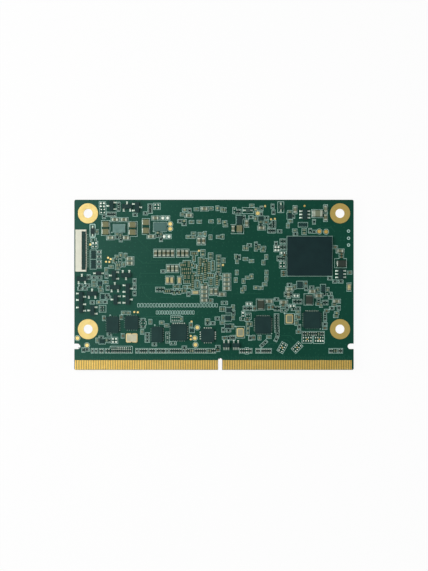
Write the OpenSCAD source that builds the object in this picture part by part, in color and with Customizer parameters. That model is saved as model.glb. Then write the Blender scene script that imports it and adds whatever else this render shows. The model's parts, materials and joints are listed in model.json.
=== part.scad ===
// Card-edge computer module: a bare circuit board with gold edge fingers, a processor and
// memory on the lower face, and a flash memory chip, a cable connector with a flip-up
// locking bar and several hundred small parts on the upper face.
// Origin: centre of the board, on the processor's lower face. +Y points away from the fingers.

/* [Board] */
// Length of the board along the card edge
board_w = 82; // [82:0.5:100]
// Depth of the board, from the fingers to the far edge
board_d = 50; // [50:0.5:80]
// Thickness of the laminate
board_t = 1.2; // [0.8:0.1:1.6]
// Radius of the board's outer corners
corner_r = 0.5; // [0.1:0.1:1]
// Thickness of the copper and gold plating on the board's faces
copper_t = 0.04; // [0.02:0.01:0.08]

/* [Card edge] */
// Distance from one finger to the next
finger_pitch = 0.5; // [0.4:0.05:0.8]
// Width of one finger
finger_w = 0.34; // [0.2:0.02:0.36]
// Length of one finger
finger_l = 2.75; // [2:0.05:3.2]
// Bare laminate beside the last finger of a run
finger_margin = 0.15; // [0.1:0.05:0.4]
// Depth of the bevel along the card edge, seen from above
bevel_in = 0.15; // [0.1:0.05:0.3]
// Depth of the bevel along the card edge, seen from the side
bevel_down = 0.35; // [0.2:0.05:0.45]
// Distance from the left edge to the middle of the key slot
key_from_left = 42.8; // [30:0.1:50]
// Width of the key slot
key_w = 1.2; // [0.8:0.1:2]
// Depth of the key slot
key_d = 3.5; // [3:0.1:4.5]
// Width of the latch notch in each side edge
notch_w = 1.6; // [1:0.1:2]
// Depth of the latch notch in each side edge
notch_d = 1.75; // [1:0.05:2]
// Distance from the card edge to the middle of the latch notches
notch_up = 6.95; // [6.5:0.05:8]

/* [Mounting holes] */
// Distance from a hole to the nearest side edge
hole_from_side = 4; // [3.5:0.1:6]
// Distance from the upper holes to the far edge
hole_from_top = 4; // [3.5:0.1:6]
// Distance from the lower holes to the card edge
hole_from_edge = 12; // [11:0.1:14]
// Clear diameter of a plated hole
hole_d = 2.7; // [2.2:0.1:3.2]
// Diameter of the gold pad round a hole
hole_pad_d = 5.9; // [5:0.1:6]
// Wall thickness of the plating in a hole
plating_t = 0.05; // [0.03:0.01:0.1]

/* [Chip packages] */
// Height of the solder balls under the large packages
ball_h = 0.3; // [0.2:0.05:0.4]
// Diameter of a solder ball
ball_d = 0.34; // [0.25:0.01:0.4]
// Length of the flash memory package
flash_w = 13; // [11.5:0.1:14]
// Depth of the flash memory package
flash_d = 11.4; // [10:0.1:11.5]
// Thickness of a memory package
memory_t = 0.7; // [0.5:0.05:0.9]
// Distance between the solder balls of the flash memory
flash_pitch = 0.65; // [0.5:0.05:0.75]
// Side of the square processor package
processor_w = 17; // [14:0.5:17]
// Thickness of the processor's laminate base
processor_base_t = 0.4; // [0.3:0.05:0.6]
// Thickness of the processor's moulded cap
processor_cap_t = 0.8; // [0.6:0.05:1]
// Step from the laminate base in to the moulded cap
processor_step = 0.5; // [0.2:0.1:1]
// Distance between the solder balls of the processor
processor_pitch = 0.65; // [0.5:0.05:0.68]
// Short side of a working memory package
ram_w = 10; // [9:0.1:10.5]
// Long side of a working memory package
ram_l = 14.5; // [12:0.1:14.5]
// Distance between the solder balls of a working memory package
ram_pitch = 0.8; // [0.6:0.05:0.85]
// Height of the leadless chips
leadless_t = 0.85; // [0.6:0.05:1]
// Height of a leadless chip's side contact and its solder
side_contact_h = 0.2; // [0.1:0.05:0.3]
// How far a side contact stands out of its chip
side_contact_out = 0.2; // [0.1:0.02:0.3]
// Width of a side contact
side_contact_w = 0.26; // [0.15:0.02:0.34]
// Diameter of the dimple that marks the first contact
dimple_d = 0.5; // [0.3:0.05:0.8]
// Depth of the marking dimple
dimple_t = 0.05; // [0.02:0.01:0.1]

/* [Leaded parts] */
// Length of a transistor body
transistor_l = 2.9; // [2.6:0.05:3]
// Width of a transistor body
transistor_w = 1.3; // [1.1:0.05:1.4]
// Height of a transistor body
transistor_h = 1; // [0.8:0.05:1.2]
// Distance from a transistor's middle to its outer leads
transistor_pitch = 0.95; // [0.8:0.05:1]
// Width of a six-lead body
six_lead_w = 1.5; // [1.3:0.05:1.7]
// Length of a five-lead body
gate_l = 2; // [1.8:0.05:2.2]
// Width of a five-lead body
gate_w = 1.25; // [1.1:0.05:1.4]
// Distance between the leads of a five-lead body
gate_pitch = 0.65; // [0.5:0.05:0.7]
// Length of a diode body
diode_l = 1.7; // [1.5:0.05:1.9]
// Length of a short diode body
short_diode_l = 1.25; // [1.1:0.05:1.4]
// Width of a diode body
diode_w = 1; // [0.9:0.05:1.3]
// Width of a bent lead
lead_w = 0.4; // [0.25:0.05:0.45]
// Thickness of a bent lead
lead_t = 0.12; // [0.08:0.01:0.16]
// How far a bent lead reaches out of its body
lead_reach = 0.6; // [0.5:0.05:0.8]
// Taper of a moulded body's sides, from its middle to its top
draft = 0.07; // [0.03:0.01:0.12]
// Gap under a moulded body
body_lift = 0.05; // [0.02:0.01:0.1]

/* [Passive parts] */
// Length of a tiny chip part
tiny_l = 0.6; // [0.5:0.02:0.66]
// Width of a tiny chip part
tiny_w = 0.3; // [0.24:0.02:0.36]
// Height of a tiny chip part
tiny_h = 0.3; // [0.2:0.02:0.4]
// Gap between tiny parts in a row
tiny_gap = 0.3; // [0.25:0.01:0.35]
// Length of a small chip part
small_l = 1; // [0.9:0.02:1.06]
// Width of a small chip part
small_w = 0.5; // [0.4:0.02:0.54]
// Height of a small chip part
small_h = 0.5; // [0.35:0.02:0.6]
// Gap between small parts in a row
small_gap = 0.1; // [0.08:0.01:0.16]
// Height of a chip resistor
resistor_h = 0.36; // [0.25:0.01:0.45]
// Length of a medium chip part
medium_l = 1.6; // [1.5:0.02:1.7]
// Width of a medium chip part
medium_w = 0.82; // [0.7:0.02:0.86]
// Height of a medium chip part
medium_h = 0.8; // [0.5:0.05:0.9]
// Length of the large capacitor
large_l = 2.65; // [2.3:0.05:2.8]
// Width of the large capacitor
large_w = 1.75; // [1.4:0.05:1.9]
// Height of the large capacitor
large_h = 1.2; // [0.8:0.05:1.4]
// Share of a chip part's length that one end cap covers
end_share = 0.24; // [0.15:0.01:0.3]
// How far an end cap stands proud of its ceramic body
end_wrap = 0.02; // [0.01:0.005:0.03]
// Rounding chamfer along a chip part's edges
chip_chamfer = 0.05; // [0.02:0.01:0.08]
// Length of a power inductor
inductor_l = 1.8; // [1.6:0.05:2]
// Width of a power inductor
inductor_w = 1.6; // [1.4:0.05:1.75]
// Height of a power inductor
inductor_h = 1; // [0.7:0.05:1.2]
// Length of a choke
choke_l = 2.4; // [2.1:0.05:2.5]
// Width of a choke
choke_w = 1.9; // [1.6:0.05:2]
// Height of a choke
choke_h = 1.1; // [0.8:0.05:1.3]
// Thickness of an inductor's end plate
end_plate_t = 0.06; // [0.04:0.01:0.1]
// Distance between the pads in a row of an empty array place
array_pitch = 0.72; // [0.6:0.01:0.76]
// Distance between the two rows of an empty array place
array_rows = 0.94; // [0.9:0.01:1]
// Width of a pad of an empty array place
array_pad_w = 0.36; // [0.28:0.01:0.4]
// Length of a pad of an empty array place
array_pad_l = 0.5; // [0.4:0.01:0.54]
// Height of a crystal's ceramic base
crystal_base_h = 0.45; // [0.3:0.05:0.6]
// Height of a crystal's sealing ring
crystal_ring_h = 0.15; // [0.1:0.01:0.25]
// Width of a crystal's sealing ring
crystal_ring_w = 0.3; // [0.2:0.02:0.35]
// How far a crystal's lid laps onto its ring
crystal_lap = 0.1; // [0.05:0.01:0.2]
// Radius of the notches in a crystal's corners and long sides
crystal_notch_r = 0.22; // [0.1:0.02:0.3]
// Thickness of a crystal's lid
crystal_lid_t = 0.1; // [0.06:0.01:0.15]
// Step from a crystal's base in to its ring
crystal_step = 0.08; // [0.04:0.01:0.12]

/* [Cable connector] */
// Number of contacts
contact_count = 20; // [16:1:21]
// Distance between the contacts
contact_pitch = 0.5; // [0.45:0.01:0.52]
// Thickness of a contact's sheet
contact_w = 0.2; // [0.14:0.01:0.24]
// Height of a contact's beam
contact_beam = 0.12; // [0.08:0.01:0.14]
// How far a contact's tail reaches behind the housing
contact_tail = 0.5; // [0.3:0.05:0.6]
// Distance from the last contact to the end of the housing
housing_end = 1.4; // [1.2:0.05:1.6]
// Depth of the housing, from its mouth to its back
housing_depth = 3.17; // [3.1:0.01:3.4]
// Height of the housing
housing_h = 1.02; // [0.98:0.01:1.2]
// Distance from the board's edge to the housing's mouth
housing_setback = 0.4; // [0.2:0.05:0.8]
// Place of the connector's middle along the board's side
housing_y = 10.05; // [8.5:0.05:10.3]
// Thickness of the housing's floor
housing_floor = 0.2; // [0.15:0.01:0.22]
// Height of the mouth for the flat cable
mouth_h = 0.34; // [0.3:0.01:0.36]
// Lead-in chamfer of the mouth
mouth_lead_in = 0.12; // [0.06:0.01:0.16]
// Thickness of the ears that hold the locking bar
ear_t = 0.5; // [0.4:0.05:0.6]
// Distance from the mouth to the locking bar's hinge line
hinge_from_mouth = 2.17; // [2.1:0.01:2.2]
// Distance from the hinge line to the locking bar's free edge
bar_reach = 0.74; // [0.6:0.01:0.75]
// Radius of the locking bar's hinge barrel
barrel_r = 0.29; // [0.26:0.01:0.3]
// Radius of the locking bar's end pins
pin_r = 0.18; // [0.14:0.01:0.2]
// Length of the locking bar's end pins
pin_l = 0.3; // [0.2:0.02:0.34]
// Running clearance round the locking bar and its pins
bar_gap = 0.06; // [0.04:0.01:0.08]

/* [Hidden] */

// Levels: the board's lower and upper faces above the processor's lower face
under = processor_cap_t + processor_base_t + ball_h;
deck = under + board_t;
left = -board_w / 2;
front = -board_d / 2;
key_x = left + key_from_left;
holes = [
    for (side = [-1, 1], y = [front + hole_from_edge, -front - hole_from_top])
    [side * (board_w / 2 - hole_from_side), y]
];
// Places are read on a board of 82 by 50 mm. On another size, what lies in the bands along the edges
// keeps its distance from its edge, and the field between the bands follows the board
side_band = 9;
near_band = 16;
far_band = 8;
function moved(v, drawn, size, low, high) =
    v < low - drawn / 2 ? v + (drawn - size) / 2
    : v > drawn / 2 - high ? v + (size - drawn) / 2
    : low - size / 2 + (v + drawn / 2 - low) * (size - low - high) / (drawn - low - high);
function spot_x(x) = moved(x, 82, board_w, side_band, side_band);
function spot_y(y) = moved(y, 50, board_d, near_band, far_band);
// Parts shrink less than the field does, since the gaps between them give some of the room
fit_x = (board_w - 2 * side_band) / (82 - 2 * side_band);
fit_y = (board_d - near_band - far_band) / (50 - near_band - far_band);
fit = pow(min(1, fit_x, fit_y), 0.62);
// Overlap of a cutting tool past the face that it cuts
cut = 1;
round_facets = 48;

// Rows and columns of equal parts, each [x, y, turn]
function row(x, y, count, pitch, turn) = [for (i = [0:count - 1]) [x + i * pitch, y, turn]];
function column(x, y, count, pitch, turn) = [for (i = [0:count - 1]) [x, y - i * pitch, turn]];
tiny_pitch = tiny_w + tiny_gap;
small_pitch = small_w + small_gap;

// Tiny capacitors in the field behind the processor
tiny_places = concat(
    column(-8.5, 2.6, 2, tiny_pitch, 0), column(-7.4, 6.72, 3, tiny_pitch, 0),
    column(-7.4, 2.6, 2, tiny_pitch, 0), column(-6.25, 2.6, 7, tiny_pitch, 0),
    column(-4.05, 7.6, 4, tiny_pitch, 0), column(-4.4, 5.2, 4, tiny_pitch, 0),
    column(-3.8, 2.75, 3, tiny_pitch, 0), column(-3, 7.4, 2, tiny_pitch, 0),
    column(-2.6, 6.1, 8, tiny_pitch, 0), column(-1.5, 6.4, 5, tiny_pitch, 0),
    column(0.85, 2.55, 5, tiny_pitch, 0), column(-0.9, 1.5, 3, tiny_pitch, 0),
    row(-9.65, 5.83, 3, tiny_pitch, 90), row(-9.3, 4.64, 5, tiny_pitch, 90),
    row(-9.3, 3.5, 5, tiny_pitch, 90), row(-8.45, 0.95, 3, tiny_pitch, 90),
    row(-1.65, 2.8, 3, tiny_pitch, 90), row(-6.4, 9.25, 3, tiny_pitch, 90),
    row(-14.25, -1.85, 3, tiny_pitch, 90), row(-5.2, 2.05, 2, tiny_pitch, 90),
    column(-5.9, 8.3, 2, 0.9, 90), column(-4.85, 0.6, 2, 0.9, 90), column(-0.35, 6.5, 3, 0.9, 90),
    column(-3.45, 4.9, 2, 0.9, 90),
    [
        [-8.5, 6.72, 0], [-5.9, 3.3, 0], [-8.55, -0.65, 0], [-7.2, -0.65, 0], [-2.6, 0.25, 0],
        [-6.5, 5.85, 90], [-5.6, 5.5, 90], [-3.6, 0.75, 90], [-2.2, 7.1, 90], [1.85, 2.1, 90],
        [-11.65, -2.3, 90], [-10.2, -2.2, 90], [-10.5, -0.5, 90], [-11.4, -0.5, 0], [-8.45, -1.75, 90]
    ]
);

// Small capacitors, block by block
small_places = concat(
    // Power block at the far left
    [[-34.36, 15.6, 90], [-27.45, 14.55, 90], [-28.4, 14.9, 0], [-16.5, 15.3, 0], [-15.56, 14.85, 90]],
    // Behind the second memory chip
    [
        [-8.6, 22, 0], [-9.24, 20.7, 0], [-8.76, 18.75, 0], [-6.6, 18.47, 0], [-4.32, 18.5, 0],
        [-0.88, 18.65, 0], [1.45, 18.65, 90], [3.1, 18.4, 0], [3.35, 17.5, 0], [-5.2, 22.2, 0],
        [-0.88, 22.46, 0], [1, 22.5, 90], [2.35, 22.1, 90], [-6, 15.05, 0], [-7.55, 14.1, 0],
        [-6.2, 14.05, 0], [-4, 14.95, 0], [-2.68, 15, 90], [-1.04, 14, 90], [1.34, 14.1, 0], [2.5, 14.15, 90],
        [3.1, 22, 90]
    ],
    // Behind the first memory chip
    [
        [9.2, 7.6, 0], [11, 7, 0], [15.33, 8.2, 90], [14.5, 6.57, 90], [15.4, 3.6, 90], [15.33, 1.8, 90],
        [14.86, 0.2, 0], [12.3, -0.8, 0], [13.75, -0.9, 0], [9.88, 2.1, 0], [11, 2.5, 90], [8.67, 1.1, 90],
        [8.95, -0.9, 90], [8.3, -1.65, 90], [8.9, 10.8, 90], [9.6, 10.75, 90], [12.3, 10.6, 90],
        [13.1, 11.15, 90], [14.55, 10.9, 0], [14.35, 10.15, 0]
    ],
    // Round the processor's field
    column(1.34, 8.3, 3, 0.87, 0), column(1.34, 5.6, 3, 0.87, 0),
    [
        [-1, 8.95, 0], [-1, 8.05, 0], [-3.26, 9.87, 0], [-3.26, 8.95, 0], [2.82, 7.2, 90], [6.45, 8.3, 90],
        [6.75, 6.95, 90], [6.7, 3.65, 90], [6.37, 1.43, 90], [-0.98, -4.6, 0], [-9.3, -1.75, 90]
    ],
    // Far edge and flash memory
    [
        [11.1, 23.26, 0], [12.26, 22.14, 0], [12.2, 19.4, 90], [13.7, 18.47, 0], [15.33, 18.36, 0],
        [21.7, 17.4, 90], [22.2, 21.4, 0], [22.4, 18.7, 0], [23.7, 15.95, 0], [26.45, 16.1, 0],
        [26.45, 15.2, 0], [35.6, 11.05, 0], [37.4, 8.98, 0], [37.4, 8.15, 0], [20.65, 8.72, 0],
        [20.4, 3.77, 0], [20.4, 2.97, 0]
    ],
    // Left side
    [
        [-29.44, 7.15, 90], [-28.4, 8.25, 0], [-26.5, 6, 90], [-28.3, 4.9, 0], [-27.4, 8.75, 90],
        [-26, 8.6, 90], [-28.4, 5.85, 90], [-27.7, 5.85, 90], [-35.2, -0.15, 0], [-33.36, -0.65, 0],
        [-35.26, 0.8, 0], [-31.77, 0.8, 0], [-31.65, 4.4, 90], [-30.2, 5.3, 0], [-33.2, -1.65, 0],
        [-33.78, -5.07, 0]
    ],
    // Right side
    [
        [26.9, 0.4, 90], [30.4, -1.4, 90], [33.35, -1.45, 90], [39.8, 3.6, 0], [30.5, -5.55, 0],
        [31.42, -5.9, 90], [35.3, -5.8, 0], [16.1, -6.6, 90], [11.9, -6.9, 90], [17.2, -6.5, 90],
        [20.25, -6, 0], [23.65, -0.6, 90]
    ],
    // Above the card edge
    [
        [-26.5, -8.17, 0], [-25.15, -8.2, 0], [-27.2, -9.5, 90], [-32.3, -9.8, 90], [-26.8, -14.97, 90],
        [-34.25, -16.3, 90], [-31.5, -16.25, 90], [-18.68, -10.8, 90], [-15.35, -11.07, 0],
        [-13.9, -11.9, 0], [-9.62, -9.95, 90], [-21.1, -13.8, 90], [-6.8, -11.76, 90], [-1.9, -10.4, 0],
        [2.65, -9.6, 90], [5.6, -9.5, 90], [2.45, -11.1, 0], [5.37, -12.2, 90], [2.1, -7.1, 90],
        [2.85, -7.1, 90], [5.6, -6.55, 90],
        [3.1, -15.6, 0], [9.9, -11.4, 90], [9.95, -12.75, 90], [9.9, -14.1, 90], [13.35, -15.5, 90],
        [16.1, -15.3, 0], [11.6, -15.45, 90], [24.2, -9.3, 90], [24.96, -9.5, 90], [24.2, -11.2, 90],
        [24.8, -13.75, 0], [24.7, -7.9, 0], [36, -8.3, 0], [35.75, -9.15, 0], [33.05, -7.6, 0],
        [32.5, -12.65, 0], [9.8, -10.2, 0], [1.1, -19.1, 0], [10.75, -11.5, 90], [27.45, -14.35, 90],
        [30.7, -14.35, 90]
    ],
    [for (x = [-6.9, -6.3, -1.65, -1.05, 35.35, 35.95]) [x, -19.35, 90]]
);

// Medium capacitors
medium_places = concat(
    row(-17.14, 9.3, 5, 1.23, 90), row(-10.43, 9.3, 3, 1.23, 90), row(-13.4, 4.8, 3, 1.23, 90),
    row(-13.65, 1.38, 2, 1.27, 90), column(-2.84, -0.68, 4, 1.27, 0), column(3.75, 2.8, 4, 1.28, 0),
    [
        [-29.04, 19.15, 0], [-26.4, 19.15, 0], [-30.36, 13.83, 0], [-25.8, 13.82, 0], [-17.14, 19.63, 0],
        [-18.47, 14.2, 0], [-7.4, 20.4, 0], [-2.84, 22.3, 0], [-4.42, 12.94, 90], [-3.1, 12.94, 90],
        [5.6, 16.5, 90], [9.57, 18.1, 90], [13.96, 16.7, 0], [23.8, 22.05, 90], [32.73, 22.3, 90],
        [32.73, 19.8, 90], [37, 9.95, 0], [-24.7, 7.68, 0], [-24.7, 6.4, 0],
        [-10.16, 1.35, 90], [-5.43, -2.2, 0], [-0.77, -1.9, 90], [0.55, -1.9, 90], [2.3, -2.74, 0],
        [16.2, -4.8, 0], [20.45, -5.1, 0], [22.2, -1.2, 0], [21.83, -2.8, 90],
        [39.6, -0.65, 90], [28.9, -1.9, 0], [30.76, -3.2, 0], [35.95, -4.8, 0]
    ]
);
large_place = [30.4, 20.93, 0];

// Coupling row along the card edge: [x of the first part, count]
coupling_y = -19.35;
coupling_groups = [
    [-35.7, 1], [-34.6, 1], [-33.35, 2], [-31.6, 1], [-30.85, 1], [-29.94, 10], [-22.65, 1], [-21.6, 4],
    [-18.7, 3], [-16.6, 2], [-15.2, 2], [-13.75, 1], [-12.75, 6], [-8.95, 1], [-8.1, 2], [-5.5, 6],
    [-0.45, 2], [7.8, 3], [10.2, 2], [12.6, 2], [14.1, 5], [34.05, 2], [36.8, 2]
];
coupling_places = [
    for (group = coupling_groups) each row(group[0], coupling_y, group[1], small_pitch, 90)
];

// Small resistors, block by block
resistor_places = concat(
    coupling_places,
    // Power block at the far left
    row(-31.1, 20.71, 4, 0.64, 90), column(-18.73, 23.3, 4, 0.62, 0),
    [
        [-32.3, 20.1, 90], [-28, 23.6, 90], [-28, 22.3, 90], [-28.35, 13.95, 0], [-27.38, 13.3, 90],
        [-23.15, 20.58, 0], [-20.1, 21, 0], [-16.55, 14.37, 0], [-15.56, 13.4, 90]
    ],
    // Along the far edge
    [
        [-7.17, 21.8, 90], [-10, 18.65, 0], [-8.76, 17.85, 0], [6.75, 21.5, 90], [7.45, 21.5, 90],
        [13.93, 22.4, 90], [13.8, 20.75, 90], [8.75, 19.76, 90], [10.85, 19.9, 0], [13.74, 17.68, 0],
        [15.4, 19.7, 0], [17.2, 23.05, 90], [17.45, 21.35, 90], [17.45, 18.5, 0],
        [17.45, 17.8, 0], [17.45, 17.1, 0], [16.3, 17.4, 90], [16.2, 15.9, 90], [16.9, 15.9, 90],
        [17.6, 15.9, 90], [19.25, 15.7, 0], [23.25, 20.2, 90], [23.9, 14.95, 0], [28.2, 15.9, 90],
        [29.35, 15.6, 0], [29.35, 18.5, 90]
    ],
    // Beside the flash memory
    [
        [10.35, 11.65, 0], [12.3, 11.9, 90], [18.2, 12.05, 90], [19.8, 12.8, 90], [20.65, 12.8, 90],
        [19.75, 11.05, 90], [20.65, 11.05, 90], [18.95, 7.75, 90], [19.65, 7.75, 90], [20.45, 7.65, 90],
        [34, 1.93, 0], [35.47, 1, 0], [37.2, 1, 0], [7.35, 8.15, 90]
    ],
    // Left side
    [
        [-33.7, 9.7, 0], [-33.7, 8.3, 0], [-33.7, 6.8, 0], [-33.7, 5.4, 0], [-36.8, 2.3, 90],
        [-35.26, 2.15, 0], [-33.57, 2.15, 0], [-31.56, 2.6, 90], [-39.07, -0.18, 0], [-37.1, -0.18, 0],
        [-39.35, -1.1, 0], [-37.85, -1.05, 0], [-31.24, -0.9, 90], [-35.7, -5.15, 0], [-31.97, -5.02, 0],
        [-31.45, -3, 0], [-31, -3.7, 0], [-32.8, -6.6, 0], [-32.77, -7.47, 0], [-23.33, 1.15, 90],
        [-23.33, -0.65, 90], [-23.33, -2.5, 90]
    ],
    // Below the processor's field
    [
        [-14.95, 3.95, 0], [-16.7, -1.35, 90], [-15.85, -1.35, 90], [-15, -1.35, 90], [-12.3, -1.9, 90],
        [-10.85, -1.9, 90], [1.1, 3.2, 0], [-7.5, -2.7, 90]
    ],
    // Right side
    [
        [22.15, 0, 0], [21.05, -2.8, 90], [22.65, -2.8, 90], [18.35, -4.27, 0],
        [8.99, -6.9, 90], [9.94, -6.9, 90], [10.84, -6.9, 90], [18.1, -6.95, 90], [19, -6.95, 90],
        [21.45, -6.7, 90], [27, -1, 90], [28.65, -0.78, 0], [32.4, -2.7, 0],
        [30.7, -4.55, 90], [32.2, -5.2, 90], [33, -5.2, 90], [34.3, -3.7, 0],
        [34.57, -6.85, 0], [36.6, -6.75, 90], [23.55, -4.9, 90], [24.45, -4.9, 90],
        [25.35, -4.9, 90], [23.35, -7.1, 0], [24.7, -6.95, 0]
    ],
    // Above the card edge
    column(-20.8, -10.3, 2, 1.9, 0), column(-19.57, -14.5, 3, 0.95, 0), column(18.35, -8.95, 5, 0.75, 0),
    [
        [-38.35, -19.1, 90], [-37.27, -19, 0], [-33.1, -15.46, 0], [-30.65, -16.3, 90], [-30.7, -14.55, 0],
        [-17.5, -17.45, 0], [-8.7, -18.4, 0], [-1.9, -11.3, 0], [-0.35, -11.25, 0], [0.97, -9.86, 0],
        [5.7, -8.2, 90], [2.7, -13.2, 90],
        [4.25, -13.35, 0], [4.3, -15.55, 0], [5.15, -15.5, 90], [5.8, -15.5, 90], [1.1, -18.2, 0],
        [10.6, -15.6, 90], [15, -16.85, 42], [14.1, -17.7, 42], [18.45, -12.75, 0], [18.5, -13.5, 0],
        [18.66, -14.55, 90], [18.25, -15.95, 65], [25, -12.3, 90], [32.6, -8.6, 90], [32.6, -9.95, 90],
        [32.5, -11.5, 0]
    ],
    [for (x = [26.2, 26.85, 28.05, 28.7, 29.35, 30, 31.4, 32.05]) [x, -14.35, 90]]
);
// Places with tinned pads and no part
bare_places = [
    [-33.2, 23.49, 90], [-32.25, 23.49, 90], [-33.07, 21.7, 90], [-32.19, 21.7, 90], [-17.2, 23.04, 90],
    [-16.3, 23.04, 90], [-35.4, 13.2, 0], [-35.03, 12.3, 0], [-35.03, 11.25, 0], [18.08, 10.65, 90],
    [18.93, 10.65, 90], [20.25, 9.4, 0], [20.1, 6.4, 0], [20.1, 5.45, 0], [-29.65, -16.28, 90],
    [-28.73, -16.28, 90], [10.27, -5.58, 0], [22.95, -6.2, 0], [24.1, -3.2, 0], [3.05, -5.3, 0],
    [6, 21.8, 90], [-28.6, 7.15, 90], [-27.55, 7.2, 90], [8.56, -8.65, 90], [9.7, -9.2, 90], [10.4, -9.2, 90],
    [8.5, -10, 0], [-12, -17.1, 0], [33.75, -2.65, 0], [20.45, -7.45, 0], [-20.8, -11.25, 0],
    [-12.2, -9.95, 90], [-11.55, -9.95, 90], [-10.9, -9.95, 90], [-10.27, -9.95, 90], [-13.65, -14.75, 90],
    [-13.65, -16.15, 90], [9.6, -19.35, 90]
];
bare_medium_places = [[-14.29, 19.63, 0], [-13.87, 14.2, 0]];
// Third pads above one group of the coupling row, for parts that turn the signal another way
choice_pad = [0.32, 0.45];
choice_places = row(-29.94, coupling_y + 0.88, 10, small_pitch, 0);
// Places with two rows of four pads, a gold bar between them and no part
array_places = [[27.38, -15.95, 0], [30.9, -15.95, 0], [24.4, -18.35, 45], [20.05, -18.4, 60]];
array_bar = [0.5, 0.22];

// Inductors, moulded parts and crystals
inductor_places = [
    [-31.8, 17.75, 0], [-31.8, 15.6, 0], [-23.9, 17.63, 0], [-23.9, 15.45, 0], [-19.97, 18.36, 0],
    [-19.97, 15.93, 0], [7.45, 16.5, 90]
];
choke_places = [[13.7, -5.75, 90], [27.86, -4.43, 90], [37.5, 6.25, 0]];
// Transistors are turned from the pose with the single lead towards +Y
transistor_places = [
    [-30.06, 23.18, 90], [-25.54, 22.99, 0], [-22.58, 22.76, -90], [-38.78, 1.75, 0], [-29.34, 2.76, 90],
    [-25.82, 2.87, 180], [-29.1, -0.68, 0], [-25.33, -1.1, -90], [-25.33, -4.3, -90], [-39, -3.48, -90],
    [-35.77, -2.56, 0], [-28.86, -4.3, 90], [-39, -6.65, 90], [-35.65, -7.5, 90]
];
six_lead_places = [[26.65, 20.66, 90], [37.16, 3.18, 90]];
five_lead_places = [[3.6, -17.7, 0], [6.45, -17.7, 0]];
diode_places = [[-35.63, 15.8, 90], [-33.86, 3.4, 0]];
short_diode_places = [[9.93, 21.86, 0], [19.6, 22.77, 90]];
power_die_places = [[-27.86, 16.62, 0], [-15.9, 16.99, 0]];
power_die_size = [3.7, 2.5, 0.55];
// Crystals: [x, y, width, depth]
crystals = [[-24.14, -15.55, 3.4, 2.7], [7.72, -13.93, 2.1, 2.5], [22.13, -9.96, 2.1, 2.6]];

// Leadless chips: [x, y, width, depth, contacts along X, contacts along Y, contact pitch]
codec = [-29.73, -11.68, 3.55, 4.6, 4, 6, 0.65];
bridge = [-24.15, -11.1, 3.8, 3.9, 5, 5, 0.65];
clock = [-16.7, -14.56, 3.2, 4.4, 3, 6, 0.65];
hub = [-10.33, -13.9, 4.7, 4.65, 6, 6, 0.65];
switch = [-1.83, -14.83, 3.8, 3.8, 4, 4, 0.65];
network_a = [14.4, -11.73, 4.6, 4.9, 8, 8, 0.5];
network_b = [28.75, -10.28, 4.9, 4.75, 8, 8, 0.5];
leadless_chips = [codec, bridge, clock, hub, switch, network_a, network_b];
mini_chip_h = 0.6;
mini_contact_pitch = 0.5;
mini_contact_h = 0.15;
// Mini chips, with contacts along their two longer sides: [x, y, width, depth]
minis = [
    [7.47, 19, 1.45, 2.25], [13.8, 19.5, 1.2, 0.9], [22.2, 20.2, 1.05, 1.25], [-35.4, 8.95, 1.2, 2.2],
    [-35.4, 6.03, 1.2, 2.35], [-33.46, 0.5, 0.95, 0.85], [-32.7, -3.4, 0.9, 1.1], [-32.83, -16.55, 1.3, 1.1],
    [4.4, -7.4, 1.2, 1.1], [4.15, -9.75, 1.3, 1.2], [4.05, -12.15, 1.3, 0.8], [32, -1.1, 1, 1.95],
    [-6.5, -13.35, 0.9, 0.8], [26.1, 17.65, 2.2, 0.8], [25.2, 0, 1.4, 1.6]
];

// Gold test pads: [x, y, diameter]
test_dot_d = 0.6;
test_disc_d = 1.1;
test_dots = [
    [-36.3, 11.86], [-31.08, 7.97], [-30.34, 7.57], [-31.68, 6.8], [-30.73, 6.75], [-4.42, 10.03],
    [15, 23.13], [16.73, 19.26], [17.87, 19.4], [2.64, 5.83], [26.57, 23.18], [-23.4, -7.95],
    [-22.35, -8.02], [-6.6, -10.78], [-6.8, -15], [-6.8, -15.97]
];
test_discs = [
    [-12.84, 17.9], [-12.84, 16.49], [12.83, 21.03], [30.9, 15.7], [32.9, 15.6], [-40.07, -15.62],
    [-37.27, -17.73], [-4.9, -12.5], [-5.64, -15.62], [-5.43, -17.58]
];

// Hidden-face packages: centres of the processor and of the two memory chips
processor_place = [-3, 2.6];
ram_a_place = [11.8, 5];
ram_b_place = [-3.3, 18.2];
flash_place = [28.05, 8.42];

// Cable connector, in its own frame: +X from the mouth to the back, Z from the board
contact_span = (contact_count - 1) * contact_pitch;
housing_l = contact_span + 2 * housing_end;
bar_l = housing_l - 2 * ear_t - 2 * bar_gap;
bar_half_t = barrel_r - 0.02;
hinge_up = housing_floor + contact_beam + bar_gap + barrel_r;
bar_nose = 0.12;
mouth_w = contact_span + contact_pitch;
bay_x = hinge_from_mouth - barrel_r - bar_gap;
sill_x = hinge_from_mouth + bar_reach + 1.5 * bar_gap;
sill_h = 0.45;
contact_slot_gap = 0.03;

// Colours
gold = [0.85, 0.68, 0.32];
tin = [0.86, 0.85, 0.8];
mould = [0.13, 0.16, 0.17];
ceramic = [0.62, 0.56, 0.42];

// Puts a part on the upper face at a place that starts with [x, y]
module at_spot(p) {
    translate([spot_x(p[0]), spot_y(p[1]), deck]) scale(fit) children();
}

// Puts a package under the lower face
module under_spot(p) {
    translate([spot_x(p[0]), spot_y(p[1]), under]) scale(fit) translate([0, 0, -under]) children();
}

// Puts a part on the upper face at each [x, y, turn]
module on_deck(places) {
    for (p = places) at_spot(p) rotate(p[2]) children();
}

// Extrudes a profile drawn in Y and Z along X, centred on X
module along_x(length) {
    rotate([90, 0, 90]) translate([0, 0, -length / 2]) linear_extrude(length) children();
}

// Extrudes a profile drawn in X and Z along Y, centred on Y
module along_y(length) {
    rotate([90, 0, 0]) translate([0, 0, -length / 2]) linear_extrude(length) children();
}

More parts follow.
